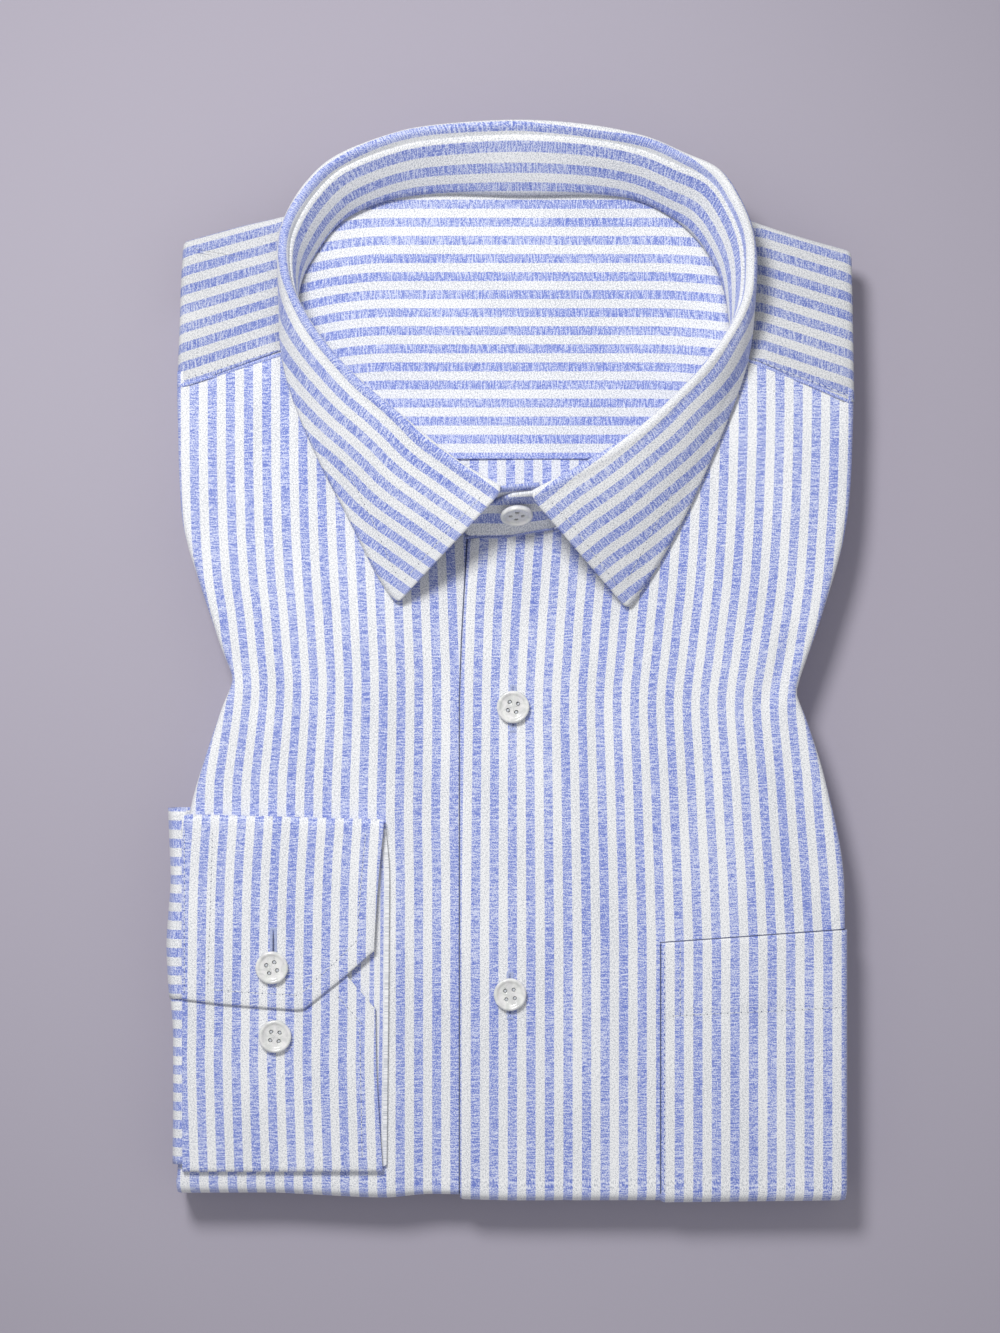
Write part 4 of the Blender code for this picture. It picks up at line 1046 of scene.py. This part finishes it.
def makeButton(name, at, turned, tilt=0.0, lean=0.0):
    width = buttons["width"]
    bm = bmesh.new()
    verts = [bm.verts.new(Vector((share * width / 2, 0, z)) * mm) for share, z in buttons["profile"]]
    for a, b in zip(verts, verts[1:]):
        bm.edges.new((a, b))
    lathe = {"cent": (0, 0, 0), "axis": (0, 0, 1), "angle": 2 * math.pi, "steps": 56, "use_merge": True}
    bmesh.ops.spin(bm, geom=bm.verts[:] + bm.edges[:], **lathe)
    bmesh.ops.remove_doubles(bm, verts=bm.verts, dist=0.00001)
    bmesh.ops.recalc_face_normals(bm, faces=bm.faces)
    body = addPiece(name + "_pearl", bm, shell)
    angles = [math.radians(45 + 90 * k + turned) for k in range(4)]
    spots = [Vector((math.cos(angle), math.sin(angle), 0)) * buttons["holeSpread"] * width * mm for angle in angles]
    holes = bmesh.new()
    radius = buttons["holeWidth"] / 2 * mm
    drill = {"cap_ends": True, "segments": 20, "radius1": radius, "radius2": radius, "depth": 8 * mm}
    for spot in spots:
        bmesh.ops.create_cone(holes, matrix=Matrix.Translation(spot), **drill)
    cutter = addPiece(name + "_holes", holes, shell)
    cut = body.modifiers.new("holes", "BOOLEAN")
    cut.object = cutter
    cut.solver = "EXACT"
    mesh = bpy.data.meshes.new_from_object(body.evaluated_get(bpy.context.evaluated_depsgraph_get()))
    body.modifiers.clear()
    bpy.data.objects.remove(cutter)
    bm = bmesh.new()
    bm.from_mesh(mesh)
    sharp = [
        edge for edge in bm.edges if len(edge.link_faces) == 2 and edge.calc_face_angle(0) > 1.0
        and max(vert.co.z for vert in edge.verts) > 1.2 * mm
    ]
    softenEdges(bm, sharp, buttons["holeEdge"], 2)
    turn = Matrix.Translation(Vector(at) * mm)
    turn = turn @ Matrix.Rotation(math.radians(lean), 4, "Z") @ Matrix.Rotation(math.radians(tilt), 4, "X")
    bmesh.ops.transform(bm, matrix=turn, verts=bm.verts)
    bm.to_mesh(body.data)
    bm.free()
    body.data.shade_smooth()
    standFor(body, "shell_button", name)
    thread = bmesh.new()
    for spot in spots:
        for height, size in buttons["strands"]:
            matrix = Matrix.Translation(spot + Vector((0, 0, height * mm)))
            made = bmesh.ops.create_icosphere(thread, subdivisions=2, radius=size * mm, matrix=matrix)
            bmesh.ops.scale(thread, vec=(1, 1, 0.6), space=Matrix.Translation(-spot), verts=made["verts"])
    bmesh.ops.transform(thread, matrix=turn, verts=thread.verts)
    standFor(addPiece(name + "_thread", thread, greyThread), "shell_button")


def makeCollarButton():
    settings = buttons["collar"]
    seam, top = Vector(collar["overEnd"][0][:3]), Vector(collar["overEnd"][0][3:])
    slope = math.atan2(top.z - seam.z, top.y - seam.y)
    spot = seam.lerp(top, settings["share"]) + Vector((0, -math.sin(slope), math.cos(slope)))
    at = (settings["x"], spot.y, spot.z)
    makeButton("collar_button", at, settings["turned"], math.degrees(slope) + settings["tilt"], settings["lean"])


print("making cloth")
rightFront = makeFront("right_front")
leftFront = makeFront("left_front")
yokePiece = makeYoke()
innerYoke = makeInnerYoke()
backPanel = makeBackPanel()
band = makeBand()
leaf = makeLeaf()
pocketPiece = makePocket()
cuffPiece = makeCuff()
sleevePiece = makeSleeve("sleeve_cloth", "sleeve")
sleeveEnd = makeSleeve("sleeve_end_cloth")
inside = makeInside()

for name, (*at, turned) in buttons["flat"].items():
    makeButton(name, at, turned)
makeCollarButton()
print("buttons made")

# Stage, light and camera
stage = {
    "floor": ("b1acb8", "aaa3b0"), "floorSize": 6.0, "floorZ": -0.0003,
    # the key light stands up and to the left, the fill low on the right
    "key": {"energy": 50.5, "spot_size": math.radians(46), "spot_blend": 1.0, "shadow_soft_size": 0.17},
    "fill": {"energy": 0.5, "size": 1.2},
    "keyAt": ((-0.32, 0.62, 1.1), (-0.05, 0.05, 0)), "fillAt": ((0.9, -0.5, 1.1), (0, 0, 0)),
    "world": 0.45, "room": "f2f3f8", "camera": (-0.0034, -0.0022, 1.5), "lens": 117.84,
}


def makePaper(name):  # matt laminate table top: an even pale tone with a barely visible tooth
    made, tree = newMaterial(name)
    spot = addNode(tree, "TexCoord", output="Object")
    tooth = addNode(tree, "TexNoise", {"Vector": spot, "Scale": 1500.0, "Detail": 2.0})
    broad = addNode(tree, "TexNoise", {"Vector": spot, "Scale": 3.0, "Detail": 1.0})
    light, dark = (linear(colour) for colour in stage["floor"])
    return dress(made, blend(tree, broad, dark, light), (tooth, 0.15, 0.1), {"Roughness": 0.75})


def addToScene(name, data, at):
    obj = bpy.data.objects.new(name, data)
    obj.location = at
    bpy.context.scene.collection.objects.link(obj)
    return obj


def makeStage():
    bm = bmesh.new()
    matrix = Matrix.Translation((0, 0, stage["floorZ"]))
    bmesh.ops.create_grid(bm, x_segments=2, y_segments=2, size=stage["floorSize"], matrix=matrix)
    addPiece("table_top", bm, makePaper("matt laminate"))
    for name, kind in (("key", "SPOT"), ("fill", "AREA")):
        light = bpy.data.lights.new(name, kind)
        for key, value in stage[name].items():
            setattr(light, key, value)
        at, aim = stage[name + "At"]
        lamp = addToScene(name, light, at)
        lamp.rotation_euler = (Vector(aim) - Vector(at)).to_track_quat("-Z", "Y").to_euler()
    world = bpy.data.worlds.new("soft room")
    world.use_nodes = True
    room = world.node_tree.nodes["Background"].inputs
    room[0].default_value, room[1].default_value = linear(stage["room"]), stage["world"]
    bpy.context.scene.world = world
    lens = bpy.data.cameras.new("camera")
    lens.lens = stage["lens"]
    bpy.context.scene.camera = addToScene("camera", lens, stage["camera"])
    bpy.context.scene.view_settings.view_transform = "Standard"


makeStage()
print("stage, lights and camera set")

# Sewing
# All the cloth as it lies, to drop stitches on from above
def surfaceOf(pieces):
    points, faces = [], []
    ready = bpy.context.evaluated_depsgraph_get()
    for piece in pieces:
        mesh = piece.evaluated_get(ready).to_mesh()
        base = len(points)
        points += [vert.co * 1000 for vert in mesh.vertices]
        faces += [[base + k for k in face.vertices] for face in mesh.polygons]
    return BVHTree.FromPolygons(points, faces)


surface = surfaceOf([
    rightFront, leftFront, yokePiece, innerYoke, backPanel, band, leaf, pocketPiece, cuffPiece, sleevePiece, sleeveEnd,
])


def dropOn(x, y):
    return surface.ray_cast(Vector((x, y, 90)), Vector((0, 0, -1)))[:2]


# size is a length, a width and a height
def addStitch(bm, x, y, heading, size, sunk=0.0):
    spot, normal = dropOn(x, y)
    if spot is None:
        return
    along = Vector((*heading, 0))
    along = (along - normal * along.dot(normal)).normalized()
    axes = [axis * reach / 2 for axis, reach in zip((along, normal.cross(along), normal), size)]
    turn = Matrix(axes).transposed().to_4x4()
    spot = (spot - normal * sunk) * mm
    bmesh.ops.create_icosphere(bm, subdivisions=2, radius=mm, matrix=Matrix.Translation(spot) @ turn)


def walk(line, pitch):
    spots, carried = [], pitch / 2
    for a, b in zip(line, line[1:]):
        length, heading = math.dist(a, b), direction(a, b)
        while carried < length:
            spots.append((a[0] + heading[0] * carried, a[1] + heading[1] * carried, heading))
            carried += pitch
        carried -= length
    return spots


sewing = {
    "pitch": 2.3, "edgeShadowPitch": 1.5, "satinPitch": 0.42, "satinSide": 0.75, "sunk": 0.03,
    "barShifts": (-0.9, -0.45, 0.0, 0.45, 0.9),
    "slit": (0.6, 0.7),  # width and height of a buttonhole's dark slit, painted shade in its opening
    # length, width and height of each kind of stitch; the needle-hole dots and the edge lines are dark marks of
    # painted shade, not thread
    "stitch": (1.75, 0.34, 0.26), "needleHoleShade": (0.5, 0.36, 0.1), "edgeShadow": (2.6, 0.46, 0.4),
    "satin": (1.15, 0.46, 0.42), "bar": (1.3, 0.5, 0.5),
    "lines": {
        "leftLeafFront": ((-8.6, 55.6), (-20.0, 44.2), (-35.5, 27.2)),
        "leftLeafSide": ((-37.6, 27.4), (-41.2, 34.6), (-46.6, 47.6), (-54.0, 62.0)),
        "rightLeafFront": ((12.6, 54.0), (22.0, 43.6), (36.2, 25.0)),
        "rightLeafSide": ((38.8, 25.2), (43.0, 33.6), (48.0, 43.4), (54.0, 55.0)),
        "pocketEdge": ((52.3, -97.0), (52.3, -180.0)),
        "pocketEdgeHem": ((57.6, -96.6), (57.6, -119.6)),
        "pocketHem": ((53.0, -120.6), (75.0, -119.5), (95.0, -118.6), (112.6, -117.6)),
        "cuffLeft": ((-100.4, -56.4), (-101.2, -84.0), (-102.1, -110.4)),
        "cuffEdge": ((-110.0, -57.0), (-110.0, -112.0)),
        "cuffEnd": ((-102.0, -111.2), (-89.6, -112.2), (-71.6, -113.2)),
        "cuffMitre": ((-70.4, -112.4), (-62.0, -104.8), (-52.6, -95.6)),
        "cuffRight": ((-51.6, -93.6), (-50.6, -78.0), (-48.9, -60.0)),
        "innerMitre": ((-59.4, -112.4), (-51.0, -122.0)),
        "innerRight": ((-50.8, -124.0), (-50.0, -168.0)),
        "yokeLeft": ((-78.0, 105.4), (-111.6, 94.9)),
        "yokeRight": ((81.0, 102.4), (115.4, 89.4)),
    },
    # painted shadow: dark lines along the pocket's folded edges and the lapped front edge, where their shadow falls
    "edgeShadows": (
        ((51.1, -95.7), (113.6, -91.2)), ((51.0, -96.4), (51.0, -181.0)),
        ((-17.2, -181.0), (-17.2, -13.0), (-16.5, 7.0), (-14.6, 41.0)),
    ),
    # x, highest y, lowest y
    "buttonholes": ((1.0, -8.4, -23.7), (0.0, -105.7, -120.9), (-79.9, -90.4, -106.0)),
}


def makeStitches():
    thread, holes, satin = bmesh.new(), bmesh.new(), bmesh.new()
    reach = sewing["pitch"] / 2
    for line in sewing["lines"].values():
        for x, y, heading in walk(line, sewing["pitch"]):
            addStitch(thread, x, y, heading, sewing["stitch"], sewing["sunk"])
            # a dark dot at each needle hole between stitches: painted shade
            addStitch(holes, x + heading[0] * reach, y + heading[1] * reach, heading, sewing["needleHoleShade"])
    # dark lines along folded edges: painted shadow
    for line in sewing["edgeShadows"]:
        for x, y, heading in walk(line, sewing["edgeShadowPitch"]):
            addStitch(holes, x, y, heading, sewing["edgeShadow"])
    for x, high, low in sewing["buttonholes"]:
        # the slit is a dark mark of painted shade in the buttonhole's opening
        addStitch(holes, x, (high + low) / 2, (0, 1), (high - low - 1.2, *sewing["slit"]))
        for y in spread(high - 0.8, low + 0.8, sewing["satinPitch"]):
            for side in (-1, 1):
                addStitch(satin, x + side * sewing["satinSide"], y, (1, 0), sewing["satin"])
        for end in (high - 0.35, low - 0.35):
            for shift in sewing["barShifts"]:
                addStitch(satin, x + shift, end, (0, 1), sewing["bar"])
    standFor(addPiece("top_stitching", thread, whiteThread), "striped_cotton")
    # the dark dots, edge lines and slits: painted shade
    standFor(addPiece("painted_shade_dots_and_lines", holes, holeShadeMaterial), "striped_cotton")
    standFor(addPiece("buttonhole_stitching", satin, paleThread), "striped_cotton")


# Narrow folded edges that show one blue stripe along the seam: line, width, lift, lowest and highest z
seamFolds = {
    "left_seam_fold": (((-76.6, 103.9), (-88.0, 100.3), (-100.0, 96.4), (-112.6, 92.5)), 1.3, 0.3, 20.0, 24.0),
    "right_seam_fold": (((79.8, 102.0), (92.0, 97.2), (104.0, 92.2), (116.2, 86.9)), 1.1, 0.3, 20.0, 24.0),
    "band_seam_fold": (((-15.4, 41.5), (-2.0, 41.7), (8.8, 43.6), (15.0, 44.6)), 0.9, 0.3, 21.5, 25.0),
    "neck_seam_fold": (((-24.0, 68.8), (0.0, 68.8), (28.0, 68.8)), 0.8, 0.25, 14.0, 15.6),
}


def makeSeamStrip(name, line, width, lift, low, high):
    def place(at, share):
        k = min(int(at), len(line) - 2)
        a, b = line[k], line[k + 1]
        x, y = (mix(a[axis], b[axis], at - k) for axis in (0, 1))
        dx, dy = direction(a, b)
        z = clamp(dropOn(x, y)[0].z, low, high)  # at its ends it goes on under the collar
        z += lift * (1 - (2 * share) ** 2)
        return (x - dy * width * share, y + dx * width * share, z), (share * 1.6, at * 14)

    shares = [-0.5, -0.4, -0.25, 0.0, 0.25, 0.4, 0.5]
    return makeSheet(name, spread(0.0, len(line) - 1, 0.1), shares, place, 0.25)


makeStitches()
seamStrips = [makeSeamStrip(name, *row) for name, row in seamFolds.items()]
print("stitches sewn")
